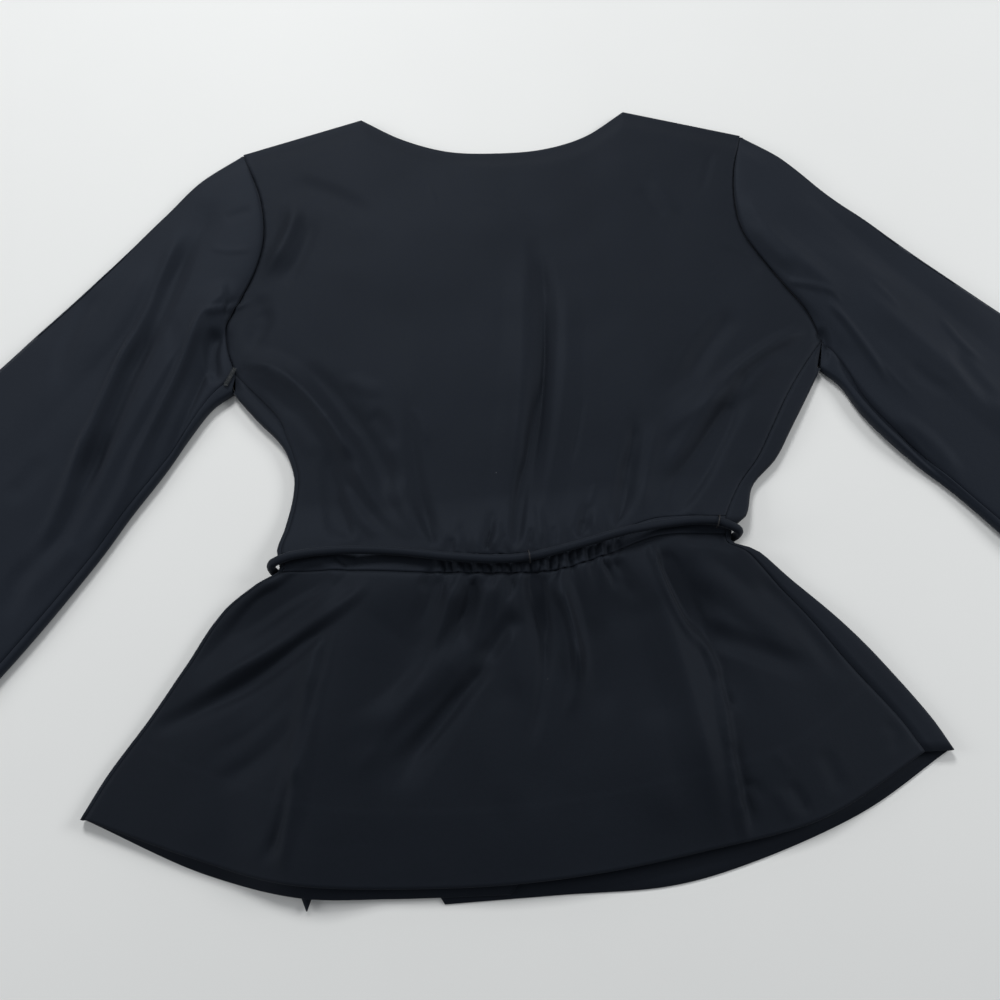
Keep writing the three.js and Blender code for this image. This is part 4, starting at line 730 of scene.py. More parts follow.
class Cloth:
    """The upper cloth with all its relief."""

    def __init__(self, depth):
        cores = [
            f._replace(wide=f.wide * CORE_WIDTH, high=f.high * CORE_HEIGHT, crisp=CORE_CRISP)
            for f in LARGE_FOLDS
        ]
        self.relief = relief_of(LARGE_FOLDS, True) + relief_of(cores, True) * depth + fine_relief(depth)

    def __call__(self, x, y, loft, extra=0.0):
        return upper_cloth(x, y, self.relief, loft, extra)


def shoulder_drop(height, below):
    """The upper cloth comes down to the shoulder seam; below is the share of the armhole below it."""
    return mix(TOP_LAYER, height, smoothstep(0, AT_SHOULDER, below))


def beside_line(a, b, x, y):
    """Distance of a place to the right of the line from a to b."""
    return ((x - a.x) * (b.y - a.y) - (y - a.y) * (b.x - a.x)) / math.hypot(b.x - a.x, b.y - a.y)


def inside_outer_wrap(x, y):
    """How far inside the outer front's free edge a place lies."""
    upper = beside_line(OUTER_WRAP.waist, OUTER_WRAP.neck, x, y)
    lower = beside_line(OUTER_WRAP.hem, OUTER_WRAP.waist, x, y)
    return np.where(y > OUTER_WRAP.waist.y, upper, lower)


def outer_front(x, y):
    return FLOOR_LAYER + tie_lift(x, y)


def inner_front(x, y):
    return FLOOR_LAYER + tie_lift(x, y) + LAYER_STEP * smoothstep(-72, -36, inside_outer_wrap(x, y))


# ---------------------------------------------------------------- meshes

def shell(grid, wall, rim=0.16):
    """A closed wall about a grid of middle points, with rounded rims. Places that are not numbers are
    left out. Gives its vertices, its faces and the flat area of the cloth."""
    has = np.isfinite(grid[..., 0])
    rows, columns = has.shape
    cells = has[:-1, :-1] & has[1:, :-1] & has[:-1, 1:] & has[1:, 1:]
    ringed = np.zeros((rows + 1, columns + 1), bool)
    ringed[1:-1, 1:-1] = cells

    def shifted(dj, di):
        out = grid.copy()
        source = np.full_like(grid, np.nan)
        js, jd = (slice(1, None), slice(None, -1)) if dj > 0 else (slice(None, -1), slice(1, None))
        is_, id_ = (slice(1, None), slice(None, -1)) if di > 0 else (slice(None, -1), slice(1, None))
        if dj:
            source[jd] = grid[js]
        else:
            source[:, id_] = grid[:, is_]
        known = np.isfinite(source[..., 0])
        out[known] = source[known]
        return out, known

    right, has_right = shifted(0, 1)
    left, has_left = shifted(0, -1)
    above, has_above = shifted(1, 0)
    below, has_below = shifted(-1, 0)
    along, up = right - left, above - below
    normal = np.cross(along, up)
    normal /= np.maximum(np.linalg.norm(normal, axis=-1, keepdims=True), 1e-12)
    # At a seam the wall's rim stands upright.
    upper = ringed[1:, 1:] | ringed[1:, :-1]
    lower = ringed[:-1, 1:] | ringed[:-1, :-1]
    east = ringed[1:, 1:] | ringed[:-1, 1:]
    west = ringed[1:, :-1] | ringed[:-1, :-1]
    for open_rim, line, across in ((~upper | ~lower, along, up), (~east | ~west, up, along)):
        steep = np.hypot(line[..., 0], line[..., 1]) < 0.5 * np.abs(line[..., 2])
        flat = np.stack([line[..., 1], -line[..., 0], np.zeros(has.shape)], -1)
        level = np.stack([across[..., 0], across[..., 1], np.zeros(has.shape)], -1)
        flat = np.where(steep[..., None], level, flat)
        flat /= np.maximum(np.linalg.norm(flat, axis=-1, keepdims=True), 1e-12)
        mended = normal - flat * np.sum(normal * flat, -1, keepdims=True)
        mended /= np.maximum(np.linalg.norm(mended, axis=-1, keepdims=True), 1e-12)
        normal = np.where(open_rim[..., None], mended, normal)

    edge = has & ~(ringed[1:, 1:] & ringed[1:, :-1] & ringed[:-1, 1:] & ringed[:-1, :-1])
    inside = has_right & has_left & has_above & has_below
    around = np.zeros_like(grid)
    for near, known in ((right, has_right), (left, has_left), (above, has_above), (below, has_below)):
        around += np.where(known[..., None], np.nan_to_num(near - grid), 0)
    outward = -around
    size = np.linalg.norm(outward, axis=-1, keepdims=True)
    outward = np.where((size > 1e-6) & ~inside[..., None], outward / np.maximum(size, 1e-9), 0)
    outward -= normal * np.nan_to_num(np.sum(outward * normal, -1, keepdims=True))

    number = np.cumsum(has).reshape(has.shape) - 1
    count = int(has.sum())
    edge_number = np.cumsum(edge).reshape(edge.shape) - 1 + 2 * count
    half = normal * wall / 2
    vertices = np.vstack([
        (grid + half)[has], (grid - half)[has], (grid + outward * rim)[edge],
    ])
    a, b = number[:-1, :-1], number[:-1, 1:]
    c, d = number[1:, 1:], number[1:, :-1]
    faces = [
        np.stack([a, b, c, d], -1)[cells],
        np.stack([a, d, c, b], -1)[cells] + count,
    ]
    m = edge_number
    ma, mb, mc, md = m[:-1, :-1], m[:-1, 1:], m[1:, 1:], m[1:, :-1]
    for start, stop, mid_start, mid_stop, free in (
        (a, b, ma, mb, ~ringed[:-1, 1:-1][:rows - 1]),
        (c, d, mc, md, ~ringed[2:, 1:-1][:rows - 1]),
        (d, a, md, ma, ~ringed[1:-1, :-2]),
        (b, c, mb, mc, ~ringed[1:-1, 2:]),
    ):
        rim_cells = cells & free
        faces.append(np.stack([mid_start, mid_stop, stop, start], -1)[rim_cells])
        faces.append(np.stack([start + count, stop + count, mid_stop, mid_start], -1)[rim_cells])
    size = np.linalg.norm(np.cross(
        (grid[1:, 1:] - grid[:-1, :-1])[cells], (grid[1:, :-1] - grid[:-1, 1:])[cells],
    ), axis=-1).sum() / 2
    return vertices, np.vstack(faces), size * MM * MM


def tube(path, across):
    """A closed tube along a path; across gives the points of its section at each share of the path."""
    path = np.asarray(path, float)
    ahead = np.gradient(path, axis=0)
    ahead /= np.linalg.norm(ahead, axis=1, keepdims=True)
    side = np.cross(ahead[0], (0, 0, 1.0))
    if np.linalg.norm(side) < 1e-3:
        side = np.array([1.0, 0, 0])
    sides = []
    for step in ahead:
        side = side - step * (side @ step)
        side /= np.linalg.norm(side)
        sides.append(side)
    sides = np.array(sides)
    uppers = np.cross(sides, ahead)
    shares = np.linspace(0, 1, len(path))
    sections = np.array([across(s) for s in shares])
    count = sections.shape[1]
    vertices = (path[:, None] + sides[:, None] * sections[..., :1] + uppers[:, None] * sections[..., 1:])
    vertices = vertices.reshape(-1, 3)
    k = np.arange(count)
    following = (k + 1) % count
    around = np.stack([following, k, count + k, count + following], -1)
    faces = np.vstack([around + j * count for j in range(len(path) - 1)])
    first, last = len(vertices), len(vertices) + 1
    base = (len(path) - 1) * count
    triangles = np.vstack([
        np.stack([np.full(count, first), k, following], -1),
        np.stack([np.full(count, last), base + following, base + k], -1),
    ])
    return np.vstack([vertices, path[0], path[-1]]), faces, triangles


def add_object(name, vertices, faces, material, triangles=None, marks=None):
    """A smooth mesh object from points in millimetres, moved to the frame's place."""
    mesh = bpy.data.meshes.new(name)
    places = (np.asarray(vertices, float) + SHIFT) * MM
    if not np.all(np.isfinite(places)):
        raise ValueError(f"{name} has a point that is not a number")
    mesh.vertices.add(len(places))
    mesh.vertices.foreach_set("co", places.astype(np.float32).ravel())
    triangles = np.zeros((0, 3), int) if triangles is None else triangles
    loops = np.concatenate([np.asarray(faces).ravel(), np.asarray(triangles).ravel()]).astype(np.int32)
    totals = np.concatenate([np.full(len(faces), 4), np.full(len(triangles), 3)])
    starts = np.concatenate([[0], np.cumsum(totals)[:-1]]).astype(np.int32)
    mesh.loops.add(len(loops))
    mesh.loops.foreach_set("vertex_index", loops)
    mesh.polygons.add(len(totals))
    mesh.polygons.foreach_set("loop_start", starts)
    mesh.update(calc_edges=True)
    mesh.polygons.foreach_set("use_smooth", np.ones(len(totals), bool))
    if mesh.validate():
        raise ValueError(f"{name} has a faulty face")
    for key, values in (marks or {}).items():
        mesh.attributes.new(key, "FLOAT", "POINT").data.foreach_set("value", values.astype(np.float32))
    mesh.materials.append(material)
    made = bpy.data.objects.new(name, mesh)
    bpy.context.scene.collection.objects.link(made)
    return made


def stand_for(node, piece):
    """Makes a piece ride the body and stand for its node."""
    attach(piece, "root")
    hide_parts(node)


def add_sheet(node, grid, wall, material, marks=None):
    """A panel of cloth that stands for its node."""
    vertices, faces, area = shell(grid, wall)
    if marks is not None:
        has = np.isfinite(grid[..., 0])
        extra = len(vertices) - 2 * int(has.sum())
        marks = {
            key: np.concatenate([values[has], values[has], np.full(extra, values[has].mean())])
            for key, values in marks.items()
        }
    panel = add_object(node + "_cloth", vertices, faces, material, marks=marks)
    stand_for(node, panel)
    cut = CUTS[node]
    min(area, cut[0] * cut[1])


# ---------------------------------------------------------------- panels

def lowest_of(side):
    """Height of the casing's top at a side."""
    return float(waist_at(look_up(side, "y", "seam", 12))) + CASING_HEIGHT


def bodice_edge(side, column, armhole, notch):
    """A vertical edge of the bodice by its share, up the side and then up the armhole."""
    on_top = column == "seam"
    hole = curve_of(armhole if on_top else [notch, *armhole[1:]])
    lowest = lowest_of(side)

    def edge(v):
        v = np.asarray(v, float)
        share = np.clip(v / UNDERARM_SHARE, 0, 1)
        y = mix(lowest, notch.y, share) + (armhole[0].y - notch.y) * share ** 6 * on_top
        below = np.stack([look_up(side, "y", column, y), y], -1)
        over = hole((v - UNDERARM_SHARE) / (1 - UNDERARM_SHARE))
        return np.where((v > UNDERARM_SHARE)[..., None], over, below)

    return edge


def steps_over(length, pitch):
    """How many steps of about a pitch cover a length."""
    return max(4, int(math.ceil(length / pitch)))


def bodice_rows(pitch, side_length):
    """Rows of a bodice panel, up its side and then up its armhole."""
    side = steps_over(side_length, pitch)
    hole = steps_over(ARMHOLE_LENGTH, pitch)
    return np.concatenate([
        UNDERARM_SHARE * (np.arange(side) / side) ** SIDE_CROWDING,
        mix(UNDERARM_SHARE, 1, np.arange(hole + 1) / hole),
    ])


def gathered_columns(left, right, pitch):
    """Columns of an upper panel, closest where it is gathered."""
    start = (GATHER_FROM - left) / (right - left)
    stop = (GATHER_TO - left) / (right - left)
    zone = steps_over(GATHER_TO - GATHER_FROM, pitch * 0.62)
    before = steps_over(GATHER_FROM - left, pitch)
    after = steps_over(right - GATHER_TO, pitch)
    return np.concatenate([
        start * np.arange(before) / before,
        mix(start, stop, np.arange(zone) / zone),
        mix(stop, 1, np.arange(after + 1) / after),
    ])


def seam_mark(columns, rows, widths, heights):
    """How near a grid's points are to its outer rim, from 1 at the rim to 0 some millimetres in."""
    across = np.minimum(columns, 1 - columns)[None, :] * widths
    up = np.minimum(rows, 1 - rows)[:, None] * heights
    return np.clip(1 - np.minimum(across, up) / SEAM_REACH, 0, 1)


def waist_line(start, stop):
    """A line across the waist by its share, which follows the waist's bend between its ends."""
    def line(u):
        x = mix(start[0], stop[0], u)
        over = mix(start[1] - waist_at(start[0]), stop[1] - waist_at(stop[0]), u)
        return np.stack([x, waist_at(x) + over], -1)
    return line


def flare_edge(flare, column, low, high):
    """A side edge of a peplum by its share, between two heights."""
    def at(t):
        y = mix(low, high, t)
        return np.stack([look_up(flare, "y", column, y), y], -1)
    return at


def make_back_bodice(sizes, cloth, material):
    """The back from the waist to the neck and shoulders, gathered in its lower edge."""
    left = bodice_edge(LEFT_SIDE, "seam", LEFT_ARMHOLE, LEFT_NOTCH)
    right = bodice_edge(RIGHT_SIDE, "seam", RIGHT_ARMHOLE, RIGHT_NOTCH)
    start, end = left(np.array([0.0]))[0], right(np.array([0.0]))[0]
    shoulders = np.array([left(np.array([1.0]))[0], right(np.array([1.0]))[0]])
    neck = curve_of(NECK)
    width = shoulders[1, 0] - shoulders[0, 0]
    neck_from = (NECK[0].x - shoulders[0, 0]) / width
    neck_to = (NECK[-1].x - shoulders[0, 0]) / width

    def top(u):
        u = u[:, None]
        near = mix(shoulders[0], np.array(NECK[0]), u / neck_from)
        far = mix(np.array(NECK[-1]), shoulders[1], (u - neck_to) / (1 - neck_to))
        middle = neck(((u - neck_from) / (neck_to - neck_from))[:, 0])
        return np.where(u <= neck_from, near, np.where(u >= neck_to, far, middle))

    def bottom(u):
        return waist_line(start, end)(u) + np.array([0, SEAM_GAP / 2])

    pitch = sizes.pitch / MM
    us = gathered_columns(start[0], end[0], pitch)
    for corner in (neck_from, neck_to):
        us[np.argmin(np.abs(us - corner))] = corner
    vs = bodice_rows(pitch, SIDE_LENGTH)
    grid = with_gap(patch(bottom, top, left, right, us, vs), CLOSED_GAP / 2)
    x, y = grid[..., 0], grid[..., 1]
    loft = EDGE_LOFT + BACK_LOFT * dome(us)[None, :] * dome(vs)[:, None]
    rolled = (us < 0.1)[None, :] * (vs < UNDERARM_SHARE)[:, None]
    seam = seam_mark(us, vs, *BODICE_SPAN) * (1 - 0.7 * rolled)
    pucker = 0.22 * np.sin((x + y) * 2 * np.pi / 8.5 + 2 * np.sin(y / 17)) * smoothstep(0, 1, seam)
    height = cloth(x, y, loft, pucker - 0.5 * seam ** 3)
    z = shoulder_drop(height, ((1 - vs) / (1 - UNDERARM_SHARE))[:, None])
    points = np.stack([x, y, z], -1)
    add_sheet(
        "back_bodice", points, sizes.wall / MM, material,
        {"seam": seam},
    )


def make_back_peplum(sizes, cloth, material):
    """The flared back peplum, with the line of its hem allowance."""
    left, right = (
        flare_edge(flare, "seam", flare[-1].y, float(waist_at(flare[1].seam)) - SEAM_GAP / 2)
        for flare in (LEFT_FLARE, RIGHT_FLARE)
    )
    ends = np.array([0.0, 1.0])
    hem = Curve([left(ends)[0], *[(p.x, p.y) for p in BACK_HEM[1:-1]], right(ends)[0]])
    start, end = left(ends)[1], right(ends)[1]

    def top(u):
        x = mix(start[0], end[0], u)
        return np.stack([x, waist_at(x) - SEAM_GAP / 2], -1)

    pitch = sizes.pitch / MM * 1.08
    us = gathered_columns(start[0] * 1.35, end[0] * 1.35, pitch)
    vs = np.linspace(0, 1, steps_over(PEPLUM_LENGTH, pitch) + 1)
    grid = with_gap(patch(hem, top, left, right, us, vs), CLOSED_GAP / 2)
    x, y = grid[..., 0], grid[..., 1]
    loft = EDGE_LOFT + PEPLUM_LOFT * dome(us)[None, :] * dome(mix(0.12, 1, vs))[:, None]
    seam = seam_mark(us, vs, *PEPLUM_SPAN) * np.where(us < 0.1, 0.3, 1)[None, :]
    above_hem = y - grid[0, :, 1][None, :]
    allowance = 0.14 * (1 - smoothstep(HEM_ALLOWANCE - 1.2, HEM_ALLOWANCE + 1.2, above_hem))
    height = cloth(x, y, loft, allowance - 0.4 * seam ** 3 * (above_hem > 6))
    points = np.stack([x, y, height], -1)
    # The hem allowance's line joins the seam mark, so it is painted a little lighter as a painted sheen
    line = np.clip(1 - np.abs(above_hem - HEM_ALLOWANCE) / 2.2, 0, 1)
    add_sheet(
        "back_peplum", points, sizes.wall / MM, material,
        {"seam": np.maximum(seam, 0.2 * line)},
    )


Front = namedtuple("Front", "name hand turn side notch flare armhole wrap layer hem")
FRONTS = [
    Front("right_front", 1, RIGHT_TURN, RIGHT_SIDE, RIGHT_NOTCH, RIGHT_FLARE, RIGHT_ARMHOLE, OUTER_WRAP,
          outer_front, OUTER_FRONT_HEM),
    Front("left_front", -1, LEFT_TURN, LEFT_SIDE, LEFT_NOTCH, LEFT_FLARE, LEFT_ARMHOLE, INNER_WRAP,
          inner_front, INNER_FRONT_HEM),
]


def free_edge(start, stop, bow):
    """The wrap's free edge by its share, bowed sideways in its middle."""
    def edge(t):
        p = mix(np.array(start, float), np.array(stop, float), t[:, None])
        return p + np.stack([bow * 4 * t * (1 - t), 0 * t], -1)
    return edge


def front_grid(cloth, pitch, rows, free, edge, seam, bottom, top, hand, turn, notch, layer, whole):
    """One front panel: along the floor to the garment's edge, up round it and on to the side seam."""
    above = rows > notch + 1e-6

    def inner(v):
        p = edge(v).copy()
        p[:, 0] -= hand * np.where(v > notch + 1e-6, SEAM_GAP / 2, turn)
        return p

    columns = steps_over(FRONT_WIDTH, pitch)
    us = np.arange(columns + 1) / columns
    if hand > 0:
        flat = patch(bottom, top, free, inner, us, rows)
    else:
        flat = patch(bottom, top, inner, free, 1 - us, rows)
    rise = smoothstep(0.94, 1, rows) if not whole else np.zeros(len(rows))
    x, y = flat[..., 0], flat[..., 1]
    z = mix(layer(x, y), SHOULDER_LAYER, rise[:, None])
    line = np.concatenate([flat, z[..., None]], -1)
    last = line[:, -1]
    high = cloth(last[:, 0], last[:, 1], EDGE_LOFT)
    parts = [line]
    for k in range(1, TURN_STEPS + 1):
        angle = math.pi * k / TURN_STEPS
        height = (high + last[:, 2]) / 2 - (high - last[:, 2]) / 2 * math.cos(angle)
        across = last[:, 0] + hand * turn * math.sin(angle)
        parts.append(np.stack([across, last[:, 1], height], -1)[:, None])
    stop = seam(rows).copy()
    stop[:, 0] += hand * (CLOSED_GAP / 2 + 0.03)
    for k in range(1, STRIP_STEPS + 1):
        p = mix(last[:, :2], stop, k / STRIP_STEPS)
        parts.append(np.stack([p[:, 0], p[:, 1], cloth(p[:, 0], p[:, 1], EDGE_LOFT)], -1)[:, None])
    grid = np.concatenate(parts, 1)
    grid[above, columns + 1:] = np.nan
    return grid if hand > 0 else grid[:, ::-1]


def make_front(front, sizes, cloth, material):
    """One front: its bodice panel and, below the waist, its peplum."""
    hand, turn = front.hand, front.turn
    pitch = sizes.front_pitch / MM
    side_edge = bodice_edge(front.side, "edge", front.armhole, front.notch)
    side_seam = bodice_edge(front.side, "seam", front.armhole, front.notch)
    ends = np.array([0.0, 1.0])
    casing_top = side_seam(ends)[0, 1]
    low_y = casing_top - CASING_HEIGHT / 2 + SEAM_GAP / 2

    def beside(column):
        return np.array([float(look_up(front.side, "y", column, low_y)), low_y])

    lowest = -UNDERARM_SHARE * (casing_top - low_y) / (front.notch.y - casing_top)

    def stretched(edge, column):
        def at(t):
            v = mix(lowest, 1, t)
            return np.where((v < -1e-9)[:, None], beside(column)[None], edge(np.maximum(v, 0)))
        return at

    shares = np.concatenate([[lowest], bodice_rows(pitch, FRONT_SIDE_LENGTH)])
    shares = (shares - lowest) / (1 - lowest)
    waist_y = float(waist_at(front.wrap.waist.x)) + CASING_HEIGHT / 2 + SEAM_GAP / 2
    waist_free = np.array([front.wrap.waist.x, waist_y])
    outer_low = np.array([beside("edge")[0] - hand * turn, low_y])
    shoulder = side_edge(ends)[1] - np.array([hand * SEAM_GAP / 2, 0])
    neck = np.array(front.wrap.neck, float)

    def top(u):
        a, b = (neck, shoulder) if hand > 0 else (shoulder, neck)
        return mix(a, b, u[:, None])

    bodice = front_grid(
        cloth, pitch, shares, free_edge(waist_free, neck, -hand * WRAP_BOW), stretched(side_edge, "edge"),
        stretched(side_seam, "seam"),
        waist_line(waist_free, outer_low) if hand > 0 else waist_line(outer_low, waist_free),
        top, hand, turn, (UNDERARM_SHARE - lowest) / (1 - lowest), front.layer, False,
    )
    add_sheet(front.name, bodice, sizes.wall / MM, material)

    # Peplum, from the hem up to the waist
    top_y = low_y - SEAM_GAP
    hem_y = front.flare[-1].y
    start_y = float(waist_at(front.flare[1].seam))
    lower = mix(start_y, hem_y, np.linspace(0, 1, steps_over(FRONT_PEPLUM_LENGTH, pitch) + 1) ** 1.3)
    heights = np.concatenate([[top_y, (top_y + start_y) / 2], lower])[::-1]

    outer = flare_edge(front.flare, "edge", hem_y, top_y)
    top_free = np.array([front.wrap.waist.x, waist_free[1] - SEAM_GAP])
    corner = np.array([outer(ends)[0, 0] - hand * turn, hem_y])
    upper = np.array([outer(ends)[1, 0] - hand * turn, top_y])
    hem = front.hem[:-1] if hand > 0 else front.hem[1:]
    hem = [(p.x, p.y) for p in hem]
    hem_curve = Curve([*hem, corner] if hand > 0 else [corner, *hem])
    peplum = front_grid(
        cloth, pitch, (heights - hem_y) / (top_y - hem_y),
        free_edge(np.array(front.wrap.hem, float), top_free, -hand * WRAP_BOW),
        outer, flare_edge(front.flare, "seam", hem_y, top_y), hem_curve,
        waist_line(top_free, upper) if hand > 0 else waist_line(upper, top_free),
        hand, turn, 1, front.layer, True,
    )
    add_sheet(front.name + "_peplum", peplum, sizes.wall / MM, material)


def make_casing(sizes, cloth, material):
    """The narrow gathered casing between bodice and peplum."""
    rows = steps_over(CASING_HEIGHT, 1.3)
    vs = np.linspace(0, 1, rows + 1)

    def end(flare, bodice, v):
        y = float(waist_at(flare[1].seam)) + SEAM_GAP / 2 + (CASING_HEIGHT - SEAM_GAP) * v
        table = bodice if y > bodice[1].y else flare
        return float(look_up(table, "y", "seam", y))

    lefts = np.array([end(LEFT_FLARE, LEFT_SIDE, v) for v in vs])
    rights = np.array([end(RIGHT_FLARE, RIGHT_SIDE, v) for v in vs])
    us = gathered_columns(lefts[0], rights[0], 1.5)
    x = mix(lefts[:, None], rights[:, None], us[None])
    y = waist_at(x) + SEAM_GAP / 2 + (CASING_HEIGHT - SEAM_GAP) * vs[:, None]
    grid = with_gap(np.stack([x, y], -1), SEAM_GAP / 2)
    x, y = grid[..., 0], grid[..., 1]
    wave = np.cos(2 * np.pi * CASING_RIPPLES * gather_share(x))
    loft = EDGE_LOFT + CASING_RIPPLE_HEIGHT * wave * gather_zone(x, 4)
    points = np.stack([x, y, cloth(x, y, loft)], -1)
    rim = np.minimum(vs, 1 - vs)[:, None] * CASING_HEIGHT + 0 * x
    add_sheet(
        "waist_casing", points, sizes.wall / MM, material,
        {"seam": np.clip(1 - rim / 2, 0, 1)},
    )


def make_sleeve(node, sections, armhole, notch, outward, sizes, cloth, material):
    """A sleeve is one piece round a flattened tube, open along its underarm seam by the seam's gap."""
    back_hole = curve_of(armhole)
    front_hole = curve_of([notch, *armhole[1:]])
    at = np.arange(len(sections))
    pitch = sizes.sleeve_pitch / MM
    first = sections[0]
    first_seam = 1 - first.seam / math.hypot(first.lx - first.ux, first.ly - first.uy)
    first_ends = np.array([(first.ux, first.uy), (first.lx, first.ly)], float)

    def drift(share, point):
        return np.asarray(point, float) - mix(first_ends[0], first_ends[1], np.asarray(share)[..., None])

    steps = np.linspace(0, 1, steps_over(SLEEVE_ROUND, pitch) + 1)
    floor_steps = np.linspace(0, 1, steps_over(SLEEVE_ROUND, pitch * SLEEVE_FLOOR_PITCH) + 1)
    angles = np.pi * np.arange(1, TURN_STEPS) / TURN_STEPS
    rings = []
    marks = []
    for v in np.linspace(0, 1, steps_over(SLEEVE_LENGTH, pitch * SLEEVE_RING_PITCH) + 1):
        ux, uy, lx, ly, inset = (
            float(through(at, [getattr(s, key) for s in sections], v ** 1.1 * (len(sections) - 1)))
            for key in Section._fields
        )
        width = math.hypot(lx - ux, ly - uy)
        fade = max(0.0, 1 - v / 0.6) ** 2
        shoulder = min(1.0, v / 0.15)
        seam = 1 - inset / width
        turn = SLEEVE_TURN / width
        gap = SEAM_GAP / 2 / width
        off = outward * 1.2 * SEAM_GAP if v == 0 else 0

        def place(t, shift):
            t = np.atleast_1d(t)
            p = np.stack([mix(ux, lx, t), mix(uy, ly, t)], -1) + np.asarray(shift) * fade
            p[:, 0] += off
            return p

        def top_at(p, t):
            t = np.atleast_1d(t)
            loft = EDGE_LOFT + SLEEVE_LOFT * dome(t) * dome(mix(0, 0.94, v ** 0.6))
            beside_seam = np.clip(1 - np.abs(t - seam) * width / SEAM_REACH, 0, 1)
            beside_hole = max(0.0, 1 - v * SLEEVE_LENGTH / 6)
            height = cloth(p[:, 0], p[:, 1], loft, -0.5 * np.maximum(beside_seam, beside_hole) ** 3)
            return mix(shoulder_drop(height, t), height, shoulder)

        def on_top(t, shift):
            p = place(t, shift)
            return np.column_stack([p, top_at(p, t)])

        def turned(start, sign, by):
            top = top_at(place(start, 0), start)[0]
            t = start + sign * turn * np.sin(by)
            return np.column_stack([place(t, 0), mix(FLOOR_LAYER, top, 0.5 + 0.5 * np.cos(by))])

        strip = np.linspace(seam + gap, 1 - turn, 5)
        strip_share = np.linspace(0, 1, 5)
        underarm = mix(np.array(armhole[0], float), np.array(notch, float), strip_share[:, None])
        strip_shift = drift(mix(first_seam, 1, strip_share), underarm)
        strip_shift[-1] = 0
        share = np.clip(1 - floor_steps, turn, 1 - turn)
        floor = place(share, drift(1 - floor_steps, front_hole(floor_steps)))
        upper = steps[1:] * seam
        upper[-1] -= gap
        ring = np.vstack([
            on_top(strip, strip_shift),
            turned(1 - turn, 1, angles),
            np.column_stack([floor, np.full(len(floor), FLOOR_LAYER)]),
            turned(turn, -1, angles[::-1]),
            on_top(turn, 0),
            on_top(upper, drift(steps[1:] * first_seam, back_hole(1 - steps[1:]))),
        ])
        near_end = max(0.0, 1 - min(v, 1 - v) * SLEEVE_LENGTH / SEAM_REACH)
        mark = np.full(len(ring), near_end)
        mark[0] = mark[-1] = 1
        rings.append(ring)
        marks.append(mark)
    grid = np.array(rings)
    marks = np.array(marks)
    if outward < 0:
        grid, marks = grid[:, ::-1], marks[:, ::-1]
    add_sheet(node, grid, sizes.wall / MM, material, {"seam": marks})
    make_seam_allowance(node, back_hole, material)


def make_seam_allowance(node, hole, material):
    """The pressed seam allowance inside the shoulder point of a sleeve, under both of its panels."""
    middle = hole(1 - np.linspace(0.0, 0.3, 14))
    across = np.linspace(-ALLOWANCE_WIDTH / 2, ALLOWANCE_WIDTH / 2, 7)
    grid = np.zeros((len(middle), len(across), 3))
    grid[..., 0] = middle[:, None, 0] + across
    grid[..., 1] = middle[:, None, 1] - ALLOWANCE_INSET - 0.12 * np.abs(across)
    grid[..., 2] = ALLOWANCE_LAYER
    vertices, faces, _ = shell(grid, ALLOWANCE_WALL, 0.05)
    stand_for(node, add_object(node + "_seam_allowance", vertices, faces, material))


def make_tie(sizes, material):
    """The rolled tie along its whole route, and the flat point at its end."""
    count = steps_over(TIE_CURVE.length, 2.2)
    path = TIE_CURVE(np.linspace(0, 1, count + 1))
    angles = 2 * np.pi * np.arange(16) / 16
    radius = sizes.tie_diameter / MM / 2

    def across(share):
        along = share * TIE_CURVE.length
        wrinkle = 0.06 * np.sin(along / 3.1 + 1.3 * np.sin(along / 11)) * np.cos(angles - 0.9)
        seam = 0.28 * np.exp(-((angles - math.pi * 1.2) / 0.35) ** 2)
        size = radius * (1 + 0.02 * math.sin(along / 23)) + wrinkle - seam
        return np.column_stack([size * np.cos(angles), size * 0.97 * np.sin(angles)])

    vertices, faces, triangles = tube(path, across)
    tie = add_object("waist_tie_cord", vertices, faces, material, triangles)
    end = TIE_CURVE.points[-1]
    tip_path = np.column_stack([
        np.full(9, end[0]), end[1] - SEAM_GAP - np.linspace(0, TIP_LENGTH, 9), np.full(9, TIE_RADIUS),
    ])

    def tip_across(share):
        wide = mix(TIP_WIDTH / 2, 0.35, share ** 0.9)
        thick = mix(1.9, 0.5, share)
        return np.column_stack([wide * np.cos(angles), thick * np.sin(angles)])

    vertices, faces, triangles = tube(tip_path, tip_across)
    tip = add_object("tie_tip_end", vertices, faces, material, triangles)
    stand_for("waist_tie", tie)
    stand_for("tie_tip", tip)
    points = [tuple((p + SHIFT) * MM) for p in TIE_CURVE(np.linspace(0, 1, 121))]
    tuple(points[0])


def make_carrier(node, row, material):
    """A carrier is a low arch of twisted thread across the tie."""
    centre = TIE_CURVE.points[row * TIE_CURVE.steps]
    ahead = TIE_CURVE.direction(row)
    angle = math.atan2(ahead[1], ahead[0])
    side = np.array([-math.sin(angle), math.cos(angle), 0])
    inside = TIE_RADIUS + TIE_CLEARANCE + CARRIER_ROOM
    leg = TIE_RADIUS + 0.1
    turn = np.linspace(0, math.pi, 25)
    flat = np.concatenate([
        np.column_stack([np.full(6, inside), np.linspace(-leg, -0.3, 6)]),
        np.column_stack([inside * np.cos(turn), inside * np.sin(turn)]),
        np.column_stack([np.full(6, -inside), np.linspace(-0.3, -leg, 6)]),
    ])
    path = centre + side * flat[:, :1] + np.array([0, 0, 1.0]) * flat[:, 1:]
    angles = 2 * np.pi * np.arange(12) / 12

    def across(share):
        lobes = THREAD_RADIUS + THREAD_LOBE * np.cos(2 * (angles - share * 2 * np.pi * THREAD_TURNS))
        return np.column_stack([lobes * np.cos(angles), lobes * np.sin(angles)])

    vertices, faces, triangles = tube(path, across)
    stand_for(node, add_object(node + "_thread", vertices, faces, material, triangles))


